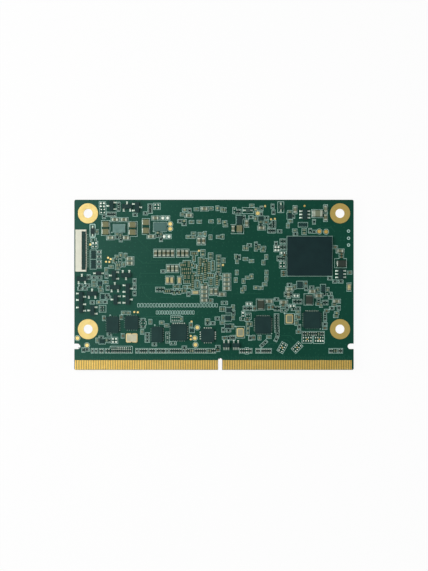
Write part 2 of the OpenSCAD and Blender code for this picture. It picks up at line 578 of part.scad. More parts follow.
// Block on z = 0, centred, with the four long edges chamfered
module soft_bar(l, w, h, c) {
    along_x(l) polygon([
        [-w / 2 + c, 0], [w / 2 - c, 0], [w / 2, c], [w / 2, h - c],
        [w / 2 - c, h], [-w / 2 + c, h], [-w / 2, h - c], [-w / 2, c]
    ]);
}

// Block on z = 0, centred in X and Y
module block(l, w, h) {
    translate([-l / 2, -w / 2, 0]) cube([l, w, h]);
}

// Body of a chip part, between its end caps
module chip_body(l, w, h, c = 0) {
    translate([0, 0, end_wrap]) chip_bar(l * (1 - 2 * end_share), w, h - end_wrap, c);
}

// Two end caps of a chip part
module chip_ends(l, w, h, c = 0) {
    end_l = l * end_share;
    for (side = [-1, 1])
        translate([side * (l - end_l) / 2, 0, 0]) chip_bar(end_l, w + 2 * end_wrap, h + end_wrap, c);
}

// Plain block for the smallest parts, chamfered bar for the others
module chip_bar(l, w, h, c) {
    if (c > 0) soft_bar(l, w, h, c);
    else block(l, w, h);
}

// Bent lead that leaves a body's side at y = 0 and stands on z = 0
module gull_lead(w, rise) {
    bend = lead_reach * 0.25;
    foot = lead_reach * 0.45;
    along_x(w) polygon([
        [0, rise], [0, rise + lead_t], [bend + lead_t / 2, rise + lead_t], [foot + lead_t / 2, lead_t],
        [lead_reach, lead_t], [lead_reach, 0], [foot - lead_t / 2, 0], [bend - lead_t / 2, rise]
    ]);
}

// Moulded body with tapered long sides, lifted off the board
module moulded_body(l, w, h) {
    translate([0, 0, body_lift]) along_x(l) polygon([
        [-w / 2 + draft, 0], [w / 2 - draft, 0], [w / 2, lead_level(h)], [w / 2, lead_level(h) + lead_t],
        [w / 2 - draft, h - body_lift], [-w / 2 + draft, h - body_lift],
        [-w / 2, lead_level(h) + lead_t], [-w / 2, lead_level(h)]
    ]);
}

// Height above the board at which a body's leads come out
function lead_level(h) = h * 0.45;

// Leads on the +Y side of a body, at the given places along X
module lead_row(w, h, places) {
    for (x = places) translate([x, w / 2, 0]) gull_lead(lead_w, lead_level(h) + body_lift);
}

// Contacts along one side of a body: count, pitch and size
module contact_row(count, pitch, w, out, h) {
    for (i = [0:count - 1])
        translate([(i - (count - 1) / 2) * pitch - w / 2, 0, 0]) cube([w, out, h]);
}

// Solder balls of a package: the outer rings of a grid, hanging from z = 0 upwards
module ball_rings(nx, ny, pitch, rings) {
    for (i = [0:nx - 1], j = [0:ny - 1])
        if (min(i, j, nx - 1 - i, ny - 1 - j) < rings)
            translate([(i - (nx - 1) / 2) * pitch, (j - (ny - 1) / 2) * pitch, 0])
                cylinder(d = ball_d, h = ball_h, $fn = 6);
}

// Number of balls that fit along a side
function ball_count(side, pitch) = floor((side - 2 * ball_d) / pitch);

// Laminate with its key slot, latch notches, bevelled card edge and holes
module circuit_board() {
    color([0.13, 0.31, 0.25]) difference() {
        translate([0, 0, under]) linear_extrude(board_t) difference() {
            square([board_w, board_d], center = true);
            for (sx = [-1, 1], sy = [-1, 1]) corner_waste(sx, sy);
            translate([key_x, front]) slot_outline(key_w, key_d);
            for (side = [-1, 1])
                translate([side * board_w / 2, front + notch_up]) rotate(side * 90)
                    slot_outline(notch_w, notch_d);
        }
        for (p = holes) translate([p[0], p[1], under - cut])
            cylinder(d = hole_d + 2 * plating_t, h = board_t + 2 * cut, $fn = round_facets);
        for (face = [0, 1]) card_edge_bevel(face);
    }
}

// Area outside the round at one corner of the board
module corner_waste(sx, sy) {
    translate([sx * (board_w / 2 - corner_r), sy * (board_d / 2 - corner_r)]) difference() {
        translate([sx > 0 ? 0 : -corner_r - cut, sy > 0 ? 0 : -corner_r - cut]) square(corner_r + cut);
        circle(r = corner_r, $fn = round_facets);
    }
}

// Slot that opens at y = 0 and ends in a half circle
module slot_outline(w, d) {
    translate([-w / 2, -cut]) square([w, d - w / 2 + cut]);
    translate([0, d - w / 2]) circle(d = w, $fn = round_facets);
}

// Wedge that is planed off one face along the card edge
module card_edge_bevel(face) {
    translate([0, front, under + face * board_t]) mirror([0, 0, face]) along_x(board_w + 2 * cut)
        polygon([[-cut, -cut], [bevel_in, -cut], [bevel_in, 0], [0, bevel_down], [-cut, bevel_down]]);
}

// Fingers of one face, on both sides of the key slot
module edge_fingers(z) {
    for (side = [-1, 1]) {
        first = side * (key_w / 2 + finger_margin + finger_w / 2);
        run = side > 0 ? board_w / 2 - key_x : key_x - left;
        count = floor((run - abs(first) - finger_w / 2 - finger_margin) / finger_pitch) + 1;
        for (i = [0:count - 1])
            translate([key_x + first + side * i * finger_pitch - finger_w / 2, front + bevel_in, z])
                cube([finger_w, finger_l, copper_t]);
    }
}

module edge_fingers_upper() { color(gold) edge_fingers(deck); }

module edge_fingers_lower() { color(gold) edge_fingers(under - copper_t); }

// Plated barrels with a ring on each face, one in each mounting hole
module mounting_hole_plating() {
    r = hole_d / 2;
    color(gold) for (p = holes) translate([p[0], p[1], under]) rotate_extrude($fn = round_facets) polygon([
        [r, -copper_t], [hole_pad_d / 2, -copper_t], [hole_pad_d / 2, 0], [r + plating_t, 0],
        [r + plating_t, board_t], [hole_pad_d / 2, board_t], [hole_pad_d / 2, board_t + copper_t],
        [r, board_t + copper_t]
    ]);
}

module test_pads() {
    color(gold) {
        for (p = test_dots) at_spot(p) cylinder(d = test_dot_d, h = copper_t, $fn = 24);
        for (p = test_discs) at_spot(p) cylinder(d = test_disc_d, h = copper_t, $fn = 32);
        on_deck(array_places) block(array_bar[0], array_bar[1], copper_t);
    }
}

// Tinned pads of a place that carries no part
module pad_pair(l, w) {
    for (side = [-1, 1]) translate([side * l * 0.45, 0, 0]) block(l * 0.45, w, copper_t);
}

module bare_pads() {
    color(tin) {
        on_deck(bare_places) pad_pair(small_l, small_w);
        on_deck(bare_medium_places) pad_pair(medium_l, medium_w);
        on_deck(choice_places) block(choice_pad[0], choice_pad[1], copper_t);
        on_deck(array_places) for (side = [-1, 1])
            translate([0, side * array_rows / 2 - array_pad_l / 2, 0])
                contact_row(4, array_pitch, array_pad_w, array_pad_l, copper_t);
    }
}

// Package body with a dimple near the corner of its first contact
module dimpled_package(w, d, h, corner) {
    inset = 2 * dimple_d;
    difference() {
        block(w, d, h);
        translate([corner[0] * (w / 2 - inset), corner[1] * (d / 2 - inset), h - dimple_t])
            cylinder(d = dimple_d, h = dimple_t + cut, $fn = 24);
    }
}

module flash_memory() {
    color(mould) at_spot(flash_place) translate([0, 0, ball_h])
        dimpled_package(flash_w, flash_d, memory_t, [-1, -1]);
}

module flash_memory_balls() {
    color(tin) at_spot(flash_place)
        ball_rings(ball_count(flash_w, flash_pitch), ball_count(flash_d, flash_pitch), flash_pitch, 1);
}

module processor_base() {
    color([0.2, 0.36, 0.24]) under_spot(processor_place) translate([0, 0, processor_cap_t])
        block(processor_w, processor_w, processor_base_t);
}

module processor_cap() {
    side = processor_w - 2 * processor_step;
    color(mould) under_spot(processor_place) difference() {
        block(side, side, processor_cap_t);
        translate([side / 2 - 2 * dimple_d, side / 2 - 2 * dimple_d, -cut])
            cylinder(d = dimple_d, h = dimple_t + cut, $fn = 24);
    }
}

module processor_balls() {
    n = ball_count(processor_w, processor_pitch);
    color(tin) under_spot(processor_place) translate([0, 0, under - ball_h])
        ball_rings(n, n, processor_pitch, 1);
}

// Memory package under the board, its dimple facing down
module ram_package(place, w, d) {
    under_spot(place) translate([0, 0, under - ball_h]) mirror([0, 0, 1])
        dimpled_package(w, d, memory_t, [1, 1]);
}

module ram_chip_a() { color(mould) ram_package(ram_a_place, ram_w, ram_l); }

module ram_chip_b() { color(mould) ram_package(ram_b_place, ram_l, ram_w); }

module ram_balls() {
    short = ball_count(ram_w, ram_pitch);
    long = ball_count(ram_l, ram_pitch);
    color(tin) {
        under_spot(ram_a_place) translate([0, 0, under - ball_h]) ball_rings(short, long, ram_pitch, 1);
        under_spot(ram_b_place) translate([0, 0, under - ball_h]) ball_rings(long, short, ram_pitch, 1);
    }
}

// Puts the connector's own frame on the board
module at_connector() {
    translate([left + housing_setback, spot_y(housing_y), deck]) scale(fit) children();
}

// Housing: a mouth for the cable in front, an open bay for the locking bar, and a slotted sill behind
module fpc_housing() {
    color([0.9, 0.88, 0.78]) at_connector() difference() {
        translate([0, -housing_l / 2, 0]) cube([housing_depth, housing_l, housing_h]);
        translate([bay_x, -bar_l / 2 - bar_gap, housing_floor])
            cube([sill_x - bay_x, bar_l + 2 * bar_gap, housing_h]);
        translate([sill_x - cut / 2, -bar_l / 2 - bar_gap, sill_h])
            cube([housing_depth, bar_l + 2 * bar_gap, housing_h]);
        translate([-cut, -mouth_w / 2, housing_floor]) cube([bay_x + 2 * cut - bar_gap, mouth_w, mouth_h]);
        along_y(mouth_w + 2 * mouth_lead_in) polygon([
            [-cut, housing_floor], [0, housing_floor], [mouth_lead_in, housing_floor],
            [mouth_lead_in, housing_floor + mouth_h], [0, housing_floor + mouth_h + mouth_lead_in],
            [-cut, housing_floor + mouth_h + mouth_lead_in]
        ]);
        translate([hinge_from_mouth, 0, hinge_up]) rotate([90, 0, 0])
            cylinder(
                r = pin_r + bar_gap, h = bar_l + 2 * pin_l + 4 * bar_gap, center = true, $fn = round_facets);
        for (i = [0:contact_count - 1])
            translate([sill_x - cut / 2, contact_y(i) - contact_w / 2 - contact_slot_gap, housing_floor])
                cube([housing_depth, contact_w + 2 * contact_slot_gap, housing_h]);
    }
}

// Place of a contact along the connector
function contact_y(i) = (i - (contact_count - 1) / 2) * contact_pitch;

// Locking bar: a flap with a round hinge barrel and an end pin at each ear
module fpc_locking_bar() {
    color([0.1, 0.12, 0.12]) at_connector() translate([hinge_from_mouth, 0, hinge_up]) {
        along_y(bar_l) polygon([
            [0, -bar_half_t], [bar_reach - bar_nose, -bar_half_t], [bar_reach, -bar_half_t + bar_nose],
            [bar_reach, bar_half_t - bar_nose / 2], [bar_reach - bar_nose / 2, bar_half_t], [0, bar_half_t]
        ]);
        rotate([90, 0, 0]) cylinder(r = barrel_r, h = bar_l, center = true, $fn = round_facets);
        rotate([90, 0, 0]) cylinder(r = pin_r, h = bar_l + 2 * pin_l, center = true, $fn = round_facets);
    }
}

// Contacts: a sprung beam on the floor with a raised tip, and a tail bent down behind the sill
module fpc_contacts() {
    top = housing_floor + contact_beam;
    back = housing_depth + contact_slot_gap;
    tip = 0.6;
    color(gold) at_connector() for (i = [0:contact_count - 1]) translate([0, contact_y(i), 0])
        along_y(contact_w) polygon([
            [tip, housing_floor], [back, housing_floor], [back, 0], [back + contact_tail, 0],
            [back + contact_tail, contact_beam], [back + contact_beam, contact_beam],
            [back + contact_beam, top], [3 * tip, top], [2.2 * tip, top + contact_beam / 2],
            [1.7 * tip, top + contact_beam / 2], [tip, top]
        ]);
}

// Body of a leadless chip, on the upper face
module leadless_chip(chip) {
    color(mould) at_spot(chip) dimpled_package(chip[2], chip[3], leadless_t, [-1, 1]);
}

module codec_chip() { leadless_chip(codec); }

module bridge_chip() { leadless_chip(bridge); }

module clock_chip() { leadless_chip(clock); }

module hub_chip() { leadless_chip(hub); }

module switch_chip() { leadless_chip(switch); }

module network_chip_a() { leadless_chip(network_a); }

module network_chip_b() { leadless_chip(network_b); }

module leadless_chip_contacts() {
    color(tin) for (chip = leadless_chips, quarter = [0:3]) {
        along = quarter % 2 == 0 ? chip[4] : chip[5];
        half = quarter % 2 == 0 ? chip[3] / 2 : chip[2] / 2;
        at_spot(chip) rotate(90 * quarter) translate([0, half, 0])
            contact_row(along, chip[6], side_contact_w, side_contact_out, side_contact_h);
    }
}

module mini_chips() {
    color(mould) for (m = minis) at_spot(m) block(m[2], m[3], mini_chip_h);
}

module mini_chip_contacts() {
    color(tin) for (m = minis, side = [0, 1]) {
        upright = m[3] > m[2];
        count = floor(max(m[2], m[3]) / mini_contact_pitch);
        at_spot(m) rotate(180 * side + (upright ? 90 : 0)) translate([0, min(m[2], m[3]) / 2, 0])
            contact_row(count, mini_contact_pitch, side_contact_w, side_contact_out, mini_contact_h);
    }
}

module power_dies() {
    color([0.42, 0.53, 0.5]) on_deck(power_die_places)
        block(power_die_size[0], power_die_size[1], power_die_size[2]);
}

module power_inductors() {
    color([0.48, 0.47, 0.34]) on_deck(inductor_places)
        soft_bar(inductor_l - 2 * end_plate_t, inductor_w, inductor_h, chip_chamfer);
}

// End plates of an inductor, standing against its two ends
module end_plates(l, w, h) {
    for (side = [-1, 1])
        translate([side * (l - end_plate_t) / 2, 0, 0]) block(end_plate_t, w * 0.8, h * 0.8);
}

module power_inductor_ends() {
    color(tin) on_deck(inductor_places) end_plates(inductor_l, inductor_w, inductor_h);
}

module chokes() {
    color([0.22, 0.23, 0.18]) on_deck(choke_places)
        soft_bar(choke_l - 2 * end_plate_t, choke_w, choke_h, 2 * chip_chamfer);
}

module choke_ends() { color(tin) on_deck(choke_places) end_plates(choke_l, choke_w, choke_h); }

module transistor_bodies() {
    color(mould) on_deck(transistor_places) moulded_body(transistor_l, transistor_w, transistor_h);
}

module transistor_leads() {
    color(tin) on_deck(transistor_places) {
        lead_row(transistor_w, transistor_h, [0]);
        rotate(180) lead_row(transistor_w, transistor_h, [-transistor_pitch, transistor_pitch]);
    }
}

module six_lead_bodies() {
    color(mould) on_deck(six_lead_places) moulded_body(transistor_l, six_lead_w, transistor_h);
}

module six_lead_leads() {
    color(tin) on_deck(six_lead_places) for (turn = [0, 180])
        rotate(turn) lead_row(six_lead_w, transistor_h, [-transistor_pitch, 0, transistor_pitch]);
}

module five_lead_bodies() {
    color(mould) on_deck(five_lead_places) moulded_body(gate_l, gate_w, transistor_h);
}

module five_lead_leads() {
    color(tin) on_deck(five_lead_places) {
        lead_row(gate_w, transistor_h, [-gate_pitch, gate_pitch]);
        rotate(180) lead_row(gate_w, transistor_h, [-gate_pitch, 0, gate_pitch]);
    }
}

// A diode's body lies along X, so its tapered sides face its leads after a quarter turn
module diode_bodies() {
    color(mould) {
        on_deck(diode_places) rotate(90) moulded_body(diode_w, diode_l, transistor_h);
        on_deck(short_diode_places) rotate(90) moulded_body(diode_w, short_diode_l, transistor_h);
    }
}

module diode_leads() {
    color(tin) for (turn = [90, 270]) {
        on_deck(diode_places) rotate(turn) lead_row(diode_l, transistor_h, [0]);
        on_deck(short_diode_places) rotate(turn) lead_row(short_diode_l, transistor_h, [0]);
    }
}

// Notches in a crystal's corners, and in the long sides of a wide one
module crystal_notches(c, r, h) {
    middles = c[2] > c[3] ? [-1, 0, 1] : [-1, 1];
    for (x = middles, y = [-1, 1])
        translate([x * c[2] / 2, y * c[3] / 2, -cut]) cylinder(r = r, h = h + 2 * cut, $fn = 24);
}

module crystal_bases() {
    color([0.75, 0.68, 0.5]) for (c = crystals) at_spot(c) difference() {
        block(c[2], c[3], crystal_base_h);
        crystal_notches(c, crystal_notch_r, crystal_base_h);
    }
}

module crystal_rings() {
    color(gold) for (c = crystals) at_spot(c) translate([0, 0, crystal_base_h]) difference() {
        block(c[2] - 2 * crystal_step, c[3] - 2 * crystal_step, crystal_ring_h);
        translate([0, 0, -cut]) block(
            c[2] - 2 * crystal_step - 2 * crystal_ring_w, c[3] - 2 * crystal_step - 2 * crystal_ring_w,
            crystal_ring_h + 2 * cut);
        crystal_notches(c, crystal_notch_r + crystal_step, crystal_ring_h);
    }
}

module crystal_lids() {
    inset = crystal_step + crystal_ring_w - crystal_lap;
    color([0.78, 0.76, 0.66]) for (c = crystals) at_spot(c) translate([0, 0, crystal_base_h + crystal_ring_h])
        block(c[2] - 2 * inset, c[3] - 2 * inset, crystal_lid_t);
}

module tiny_capacitors() { color(ceramic) on_deck(tiny_places) chip_body(tiny_l, tiny_w, tiny_h); }

module tiny_capacitor_ends() { color(tin) on_deck(tiny_places) chip_ends(tiny_l, tiny_w, tiny_h); }

module small_capacitors() { color(ceramic) on_deck(small_places) chip_body(small_l, small_w, small_h); }

module small_capacitor_ends() { color(tin) on_deck(small_places) chip_ends(small_l, small_w, small_h); }

module medium_capacitors() {
    color(ceramic) on_deck(medium_places) chip_body(medium_l, medium_w, medium_h, chip_chamfer);
}

module medium_capacitor_ends() {
    color(tin) on_deck(medium_places) chip_ends(medium_l, medium_w, medium_h, chip_chamfer);
}

module large_capacitor() {
    color(ceramic) on_deck([large_place]) chip_body(large_l, large_w, large_h, chip_chamfer);
}

module large_capacitor_ends() {
    color(tin) on_deck([large_place]) chip_ends(large_l, large_w, large_h, chip_chamfer);
}

module resistors() { color(mould) on_deck(resistor_places) chip_body(small_l, small_w, resistor_h); }

module resistor_ends() { color(tin) on_deck(resistor_places) chip_ends(small_l, small_w, resistor_h); }

circuit_board();
edge_fingers_upper();
edge_fingers_lower();
mounting_hole_plating();
test_pads();
bare_pads();
flash_memory();
flash_memory_balls();
processor_base();
processor_cap();
processor_balls();
ram_chip_a();
ram_chip_b();
ram_balls();
fpc_housing();
fpc_locking_bar();
fpc_contacts();
codec_chip();
bridge_chip();
clock_chip();
hub_chip();
switch_chip();
network_chip_a();
network_chip_b();
leadless_chip_contacts();
mini_chips();
mini_chip_contacts();
power_dies();
power_inductors();
power_inductor_ends();
chokes();
choke_ends();
transistor_bodies();
transistor_leads();
six_lead_bodies();
six_lead_leads();
five_lead_bodies();
five_lead_leads();
diode_bodies();
diode_leads();
crystal_bases();
crystal_rings();
crystal_lids();
tiny_capacitors();
tiny_capacitor_ends();
small_capacitors();
small_capacitor_ends();
medium_capacitors();
medium_capacitor_ends();
large_capacitor();
large_capacitor_ends();
resistors();
resistor_ends();
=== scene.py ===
# %% [markdown]
# # A card-edge computer module, dressed for the camera
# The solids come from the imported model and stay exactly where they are. This lesson adds what a
# plain solid cannot show: solder that climbs the ends of the small parts, white outline printing,
# copper tracks and plated holes under the green solder mask, and a finish for every surface.

import json
from collections import namedtuple

import bpy
import numpy as np
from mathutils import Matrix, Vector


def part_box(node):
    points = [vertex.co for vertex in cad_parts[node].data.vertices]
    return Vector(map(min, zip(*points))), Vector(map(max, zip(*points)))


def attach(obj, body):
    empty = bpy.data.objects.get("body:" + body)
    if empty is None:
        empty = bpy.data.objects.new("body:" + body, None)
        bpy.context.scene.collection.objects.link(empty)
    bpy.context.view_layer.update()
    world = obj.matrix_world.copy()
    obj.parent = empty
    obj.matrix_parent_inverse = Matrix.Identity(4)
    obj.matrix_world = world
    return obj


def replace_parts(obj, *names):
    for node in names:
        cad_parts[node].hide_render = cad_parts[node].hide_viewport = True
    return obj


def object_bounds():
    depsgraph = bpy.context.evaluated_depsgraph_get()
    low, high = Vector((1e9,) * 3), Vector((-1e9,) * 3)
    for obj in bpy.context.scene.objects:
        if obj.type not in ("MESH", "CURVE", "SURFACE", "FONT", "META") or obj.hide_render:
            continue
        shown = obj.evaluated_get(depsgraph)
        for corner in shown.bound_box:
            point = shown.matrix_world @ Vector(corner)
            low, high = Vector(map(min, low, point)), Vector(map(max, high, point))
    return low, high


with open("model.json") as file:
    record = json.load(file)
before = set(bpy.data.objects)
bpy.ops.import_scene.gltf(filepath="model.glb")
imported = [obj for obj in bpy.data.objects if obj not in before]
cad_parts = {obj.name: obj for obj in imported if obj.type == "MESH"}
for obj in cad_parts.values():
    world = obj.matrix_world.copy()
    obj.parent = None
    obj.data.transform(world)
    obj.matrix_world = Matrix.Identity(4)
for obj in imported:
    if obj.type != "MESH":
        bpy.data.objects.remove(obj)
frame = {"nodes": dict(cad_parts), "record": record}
NODES = frame["nodes"]
MM = 0.001
MODULE = "module"
cad_box = [list(corner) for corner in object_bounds()]
print("solids:", len(NODES), "box in mm:", np.round(np.array(cad_box) / MM, 2).tolist())

# %% [markdown]
# ## Camera and stage
# The photograph looks straight down, through a long lens, so that no side of a part shows. A camera
# with no turn at all already looks along -Z with +Y upwards. Only its height has to be worked out:
# the frame's long side shows a known length of the board's plane.

# %% Camera
LENS_MM = 100.0
SENSOR_MM = 36.0
SHOWN_HEIGHT = 167.6 * MM
SHOWN_MIDDLE = -0.18 * MM
board_low, board_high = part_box("circuit_board")
DECK = board_high.z
UNDER = board_low.z
camera = bpy.data.objects.new("camera", bpy.data.cameras.new("camera"))
camera.data.lens = LENS_MM
camera.data.sensor_width = SENSOR_MM
camera.data.clip_start = 0.01
camera.location = (0.0, SHOWN_MIDDLE, DECK + SHOWN_HEIGHT * LENS_MM / SENSOR_MM)
bpy.context.scene.collection.objects.link(camera)
bpy.context.scene.camera = camera
bpy.context.scene.view_settings.view_transform = "Standard"
print("camera height in mm:", round(camera.location.z / MM, 1))

# %% [markdown]
# ## Nets of nodes
# The room and every finish is a small net of nodes. Three functions keep such a net short: one adds a
# node with its settings and constants, one adds a mix of two colours, and one links outputs to inputs.


# %% Nodes and links
def new_node(nodes, kind, constants=None, **settings):
    """A shader node of a kind, with its settings, then with constants on its named or numbered inputs."""
    node = nodes.new("ShaderNode" + kind)
    for label, value in settings.items():
        setattr(node, label, value)
    for label, value in (constants or {}).items():
        node.inputs[label].default_value = value
    return node


def new_mix(nodes, **constants):
    """A node that mixes colour A into colour B."""
    return new_node(nodes, "Mix", constants, data_type="RGBA")


def join(links, *rows):
    """Links each row's output to its input: (node, output, node, input)."""
    for source, output, target, socket in rows:
        links.new(source.outputs[output], target.inputs[socket])


WHITE = (1.0, 1.0, 1.0, 1.0)
print("tools for nets:", [tool.__name__ for tool in (new_node, new_mix, join)])

# %% [markdown]
# ## Light
# One wide soft panel hangs up and to the left, and a weaker one fills from the right. The panel on
# the left also mirrors itself faintly in the glossy mask, which is why the left of the board looks
# milky and its right side deep green. The room is a studio with white walls and a dark ceiling: the
# direction of a ray decides, so the camera, mirrors and diffuse surfaces all see the same room.

# %% Two soft panels and a plain room
PANEL_SIZE = 0.30
# Place in metres, power in watts and tint of each panel
PANELS = {
    "key_panel": ((-0.17, 0.03, 0.25), 0.86, (1.0, 0.99, 0.975)),
    "fill_panel": ((0.34, -0.14, 0.40), 0.62, (0.97, 0.99, 1.0)),
}
for name, (place, watts, tint) in PANELS.items():
    lamp = bpy.data.lights.new(name, "AREA")
    lamp.shape, lamp.size, lamp.energy, lamp.color = "SQUARE", PANEL_SIZE, watts, tint
    panel = bpy.data.objects.new(name, lamp)
    panel.location = place
    # The lamp shines along its own -Z, so its +Z points away from the middle of the board
    panel.rotation_euler = panel.location.normalized().to_track_quat("Z", "Y").to_euler()
    panel.visible_camera = False
    bpy.context.scene.collection.objects.link(panel)

CEILING = (0.10, 0.11, 0.11, 1.0)
WALL_TOP, WALL_FADE = 0.18, 0.06
world = bpy.data.worlds.new("studio")
world.use_nodes = True
bpy.context.scene.world = world
nodes = world.node_tree.nodes
ray = new_node(nodes, "TexCoord")
ray_parts = new_node(nodes, "SeparateXYZ")
above_wall = new_node(nodes, "MapRange", {"From Min": WALL_TOP, "From Max": WALL_TOP + WALL_FADE})
wall_or_ceiling = new_mix(nodes, A=WHITE, B=CEILING)
join(
    world.node_tree.links, (ray, "Generated", ray_parts, "Vector"), (ray_parts, "Z", above_wall, "Value"),
    (above_wall, "Result", wall_or_ceiling, "Factor"), (wall_or_ceiling, "Result", nodes["Background"], "Color"),
)
print("lamps:", list(PANELS))

# %% [markdown]
# ## Tools of the trade: pieces and materials
# Every new piece below is a cloud of points and a list of four-cornered faces, worked out as whole
# arrays. One helper turns such arrays into an object that rides on the module, one turns a screen
# colour into a linear one, and one starts a material with its only shader.


# %% Helpers for pieces and materials
def new_piece(name, points, quads, material, slot, body=MODULE):
    """Puts points (any shape, 3 numbers each) and quads (rows of 4 point numbers) into a mesh at the origin."""
    mesh = bpy.data.meshes.new(name)
    mesh.from_pydata(points.reshape(-1, 3), [], quads.reshape(-1, 4))
    mesh.validate()
    mesh.materials.append(material)
    piece = bpy.data.objects.new(name, mesh)
    bpy.context.scene.collection.objects.link(piece)
    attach(piece, body)
    print(f"{name}: {len(mesh.vertices)} points, {len(mesh.polygons)} faces")
    return piece


def srgb(red, green, blue):
    """The linear colour of a screen colour in 0 to 255."""
    v = np.array([red, green, blue]) / 255
    v = np.where(v <= 0.04045, v / 12.92, ((v + 0.055) / 1.055) ** 2.4)
    return (*v.tolist(), 1.0)


def new_material(name, roughness, metallic=0.0, specular=0.5):
    """A material with one Principled shader; returns the material, its nodes, its links and the shader."""
    material = bpy.data.materials.new(name)
    material.use_nodes = True
    tree = material.node_tree
    shader = tree.nodes["Principled BSDF"]
    shader.inputs["Roughness"].default_value = roughness
    shader.inputs["Metallic"].default_value = metallic
    shader.inputs["Specular IOR Level"].default_value = specular
    return material, tree.nodes, tree.links, shader


print("tools for pieces:", [tool.__name__ for tool in (new_piece, srgb, new_material)])

# %% [markdown]
# ## Shared effects as node groups
# Moulded plastic, ceramic and plated metal all have two things in common: a fine grain that breaks
# up the light, and a slow drift of tone across the surface. Each is a node group, built once and
# placed in a material with its own scale and strength. One puts out a colour and the other a normal,
# and each material keeps its own shader.

# %% Node groups: two-tone drift and fine grain
COLOUR, NUMBER, VECTOR = "NodeSocketColor", "NodeSocketFloat", "NodeSocketVector"


def new_group(name, inputs, output, output_type):
    """An empty group with (name, socket type, default) inputs and one output; also its start and its end."""
    group = bpy.data.node_groups.new(name, "ShaderNodeTree")
    for label, socket_type, value in inputs:
        group.interface.new_socket(label, in_out="INPUT", socket_type=socket_type).default_value = value
    group.interface.new_socket(output, in_out="OUTPUT", socket_type=output_type)
    return group, group.nodes.new("NodeGroupInput"), group.nodes.new("NodeGroupOutput")


def build_two_tone():
    """Colour A drifts into colour B with soft noise: mix factor = noise stretched about one half."""
    inputs = [("Colour A", COLOUR, WHITE), ("Colour B", COLOUR, WHITE), ("Scale", NUMBER, 100.0)]
    group, start, end = new_group("two_tone_drift", inputs, "Colour", COLOUR)
    place = new_node(group.nodes, "TexCoord")
    noise = new_node(group.nodes, "TexNoise", {"Detail": 3.0})
    stretch = new_node(group.nodes, "MapRange", {"From Min": 0.3, "From Max": 0.7})
    mix = new_mix(group.nodes)
    join(
        group.links, (place, "Object", noise, "Vector"), (start, "Scale", noise, "Scale"),
        (noise, "Fac", stretch, "Value"), (stretch, "Result", mix, "Factor"),
        (start, "Colour A", mix, "A"), (start, "Colour B", mix, "B"), (mix, "Result", end, "Colour"),
    )
    return group


def build_grain():
    """Fine noise as a bump: height = noise, turned into a normal with the given strength and depth."""
    inputs = [("Scale", NUMBER, 4000.0), ("Strength", NUMBER, 0.2), ("Depth", NUMBER, 0.01 * MM)]
    group, start, end = new_group("fine_grain", inputs, "Normal", VECTOR)
    place = new_node(group.nodes, "TexCoord")
    noise = new_node(group.nodes, "TexNoise", {"Detail": 2.0})
    bump = new_node(group.nodes, "Bump")
    join(
        group.links, (place, "Object", noise, "Vector"), (start, "Scale", noise, "Scale"),
        (start, "Strength", bump, "Strength"), (start, "Depth", bump, "Distance"),
        (noise, "Fac", bump, "Height"), (bump, "Normal", end, "Normal"),
    )
    return group


TWO_TONE = build_two_tone()
GRAIN = build_grain()
print("groups:", [g.name for g in bpy.data.node_groups])

# %% [markdown]
# ## One recipe for the plain finishes
# Most finishes differ only in their two tones, their gloss and their grain, so one recipe makes
# them all. The tones are screen colours as in the photograph, opened up a little where the part is
# too small there to show its own colour.

# %% Finishes that share the recipe
GRAIN_DEPTH = 0.012 * MM
TIN_DRIFT = 1500.0
TIN = {"drift": TIN_DRIFT, "strength": 0.2}


def drifting(nodes, tone_a, tone_b, scale):
    """The two-tone group with two screen colours."""
    tones = {"Colour A": srgb(*tone_a), "Colour B": srgb(*tone_b), "Scale": scale}
    return new_node(nodes, "Group", tones, node_tree=TWO_TONE)


def grained_finish(name, tone_a, tone_b, roughness, metallic=0.0, specular=0.5, drift=300.0, grain=5000.0,
                   strength=0.25):
    """Two tones that drift into each other, under a fine grain."""
    material, nodes, links, shader = new_material(name, roughness, metallic, specular)
    tones = drifting(nodes, tone_a, tone_b, drift)
    fine = new_node(nodes, "Group", {"Scale": grain, "Strength": strength, "Depth": GRAIN_DEPTH}, node_tree=GRAIN)
    join(links, (tones, "Colour", shader, "Base Color"), (fine, "Normal", shader, "Normal"))
    return material


finger_gold = grained_finish("finger_gold", (240, 202, 108), (230, 190, 94), 0.42, 0.5, drift=900, strength=0.15)
seal_gold = grained_finish("seal_gold", (232, 214, 158), (216, 194, 132), 0.42, 0.5, drift=1500, strength=0.15)
tin = grained_finish("bright_tin", (206, 220, 204), (176, 190, 176), 0.38, 0.55, **TIN)
lead_tin = grained_finish("lead_tin", (186, 203, 189), (158, 173, 161), 0.38, 0.5, **TIN)
warm_tin = grained_finish("warm_tin", (163, 172, 142), (143, 152, 124), 0.42, 0.3, **TIN)
dull_tin = grained_finish("dull_tin", (126, 158, 142), (100, 132, 117), 0.45, 0.5, **TIN)
shaded_tin = grained_finish("shaded_tin", (114, 156, 146), (94, 134, 126), 0.45, 0.5, **TIN)
dark_tin = grained_finish("dark_tin", (84, 112, 104), (68, 94, 88), 0.45, 0.5, **TIN)
bright_solder = grained_finish("bright_solder", (232, 246, 235), (204, 220, 208), 0.32, 0.4, drift=2500)
solder = grained_finish("reflowed_solder", (222, 224, 212), (180, 186, 176), 0.30, 0.6, drift=2500)
epoxy = grained_finish("moulded_epoxy", (33, 63, 60), (27, 55, 53), 0.55, specular=0.15, grain=9000)
memory = grained_finish("memory_mould", (23, 49, 50), (19, 43, 45), 0.48, specular=0.12, grain=9000)
network_mould = grained_finish("network_mould", (29, 58, 56), (24, 51, 50), 0.5, specular=0.14, grain=9000)
base_laminate = grained_finish("package_laminate", (64, 106, 74), (52, 92, 66), 0.45, drift=600)
cream = grained_finish("cream_plastic", (229, 229, 211), (220, 220, 202), 0.48, drift=500, strength=0.1)
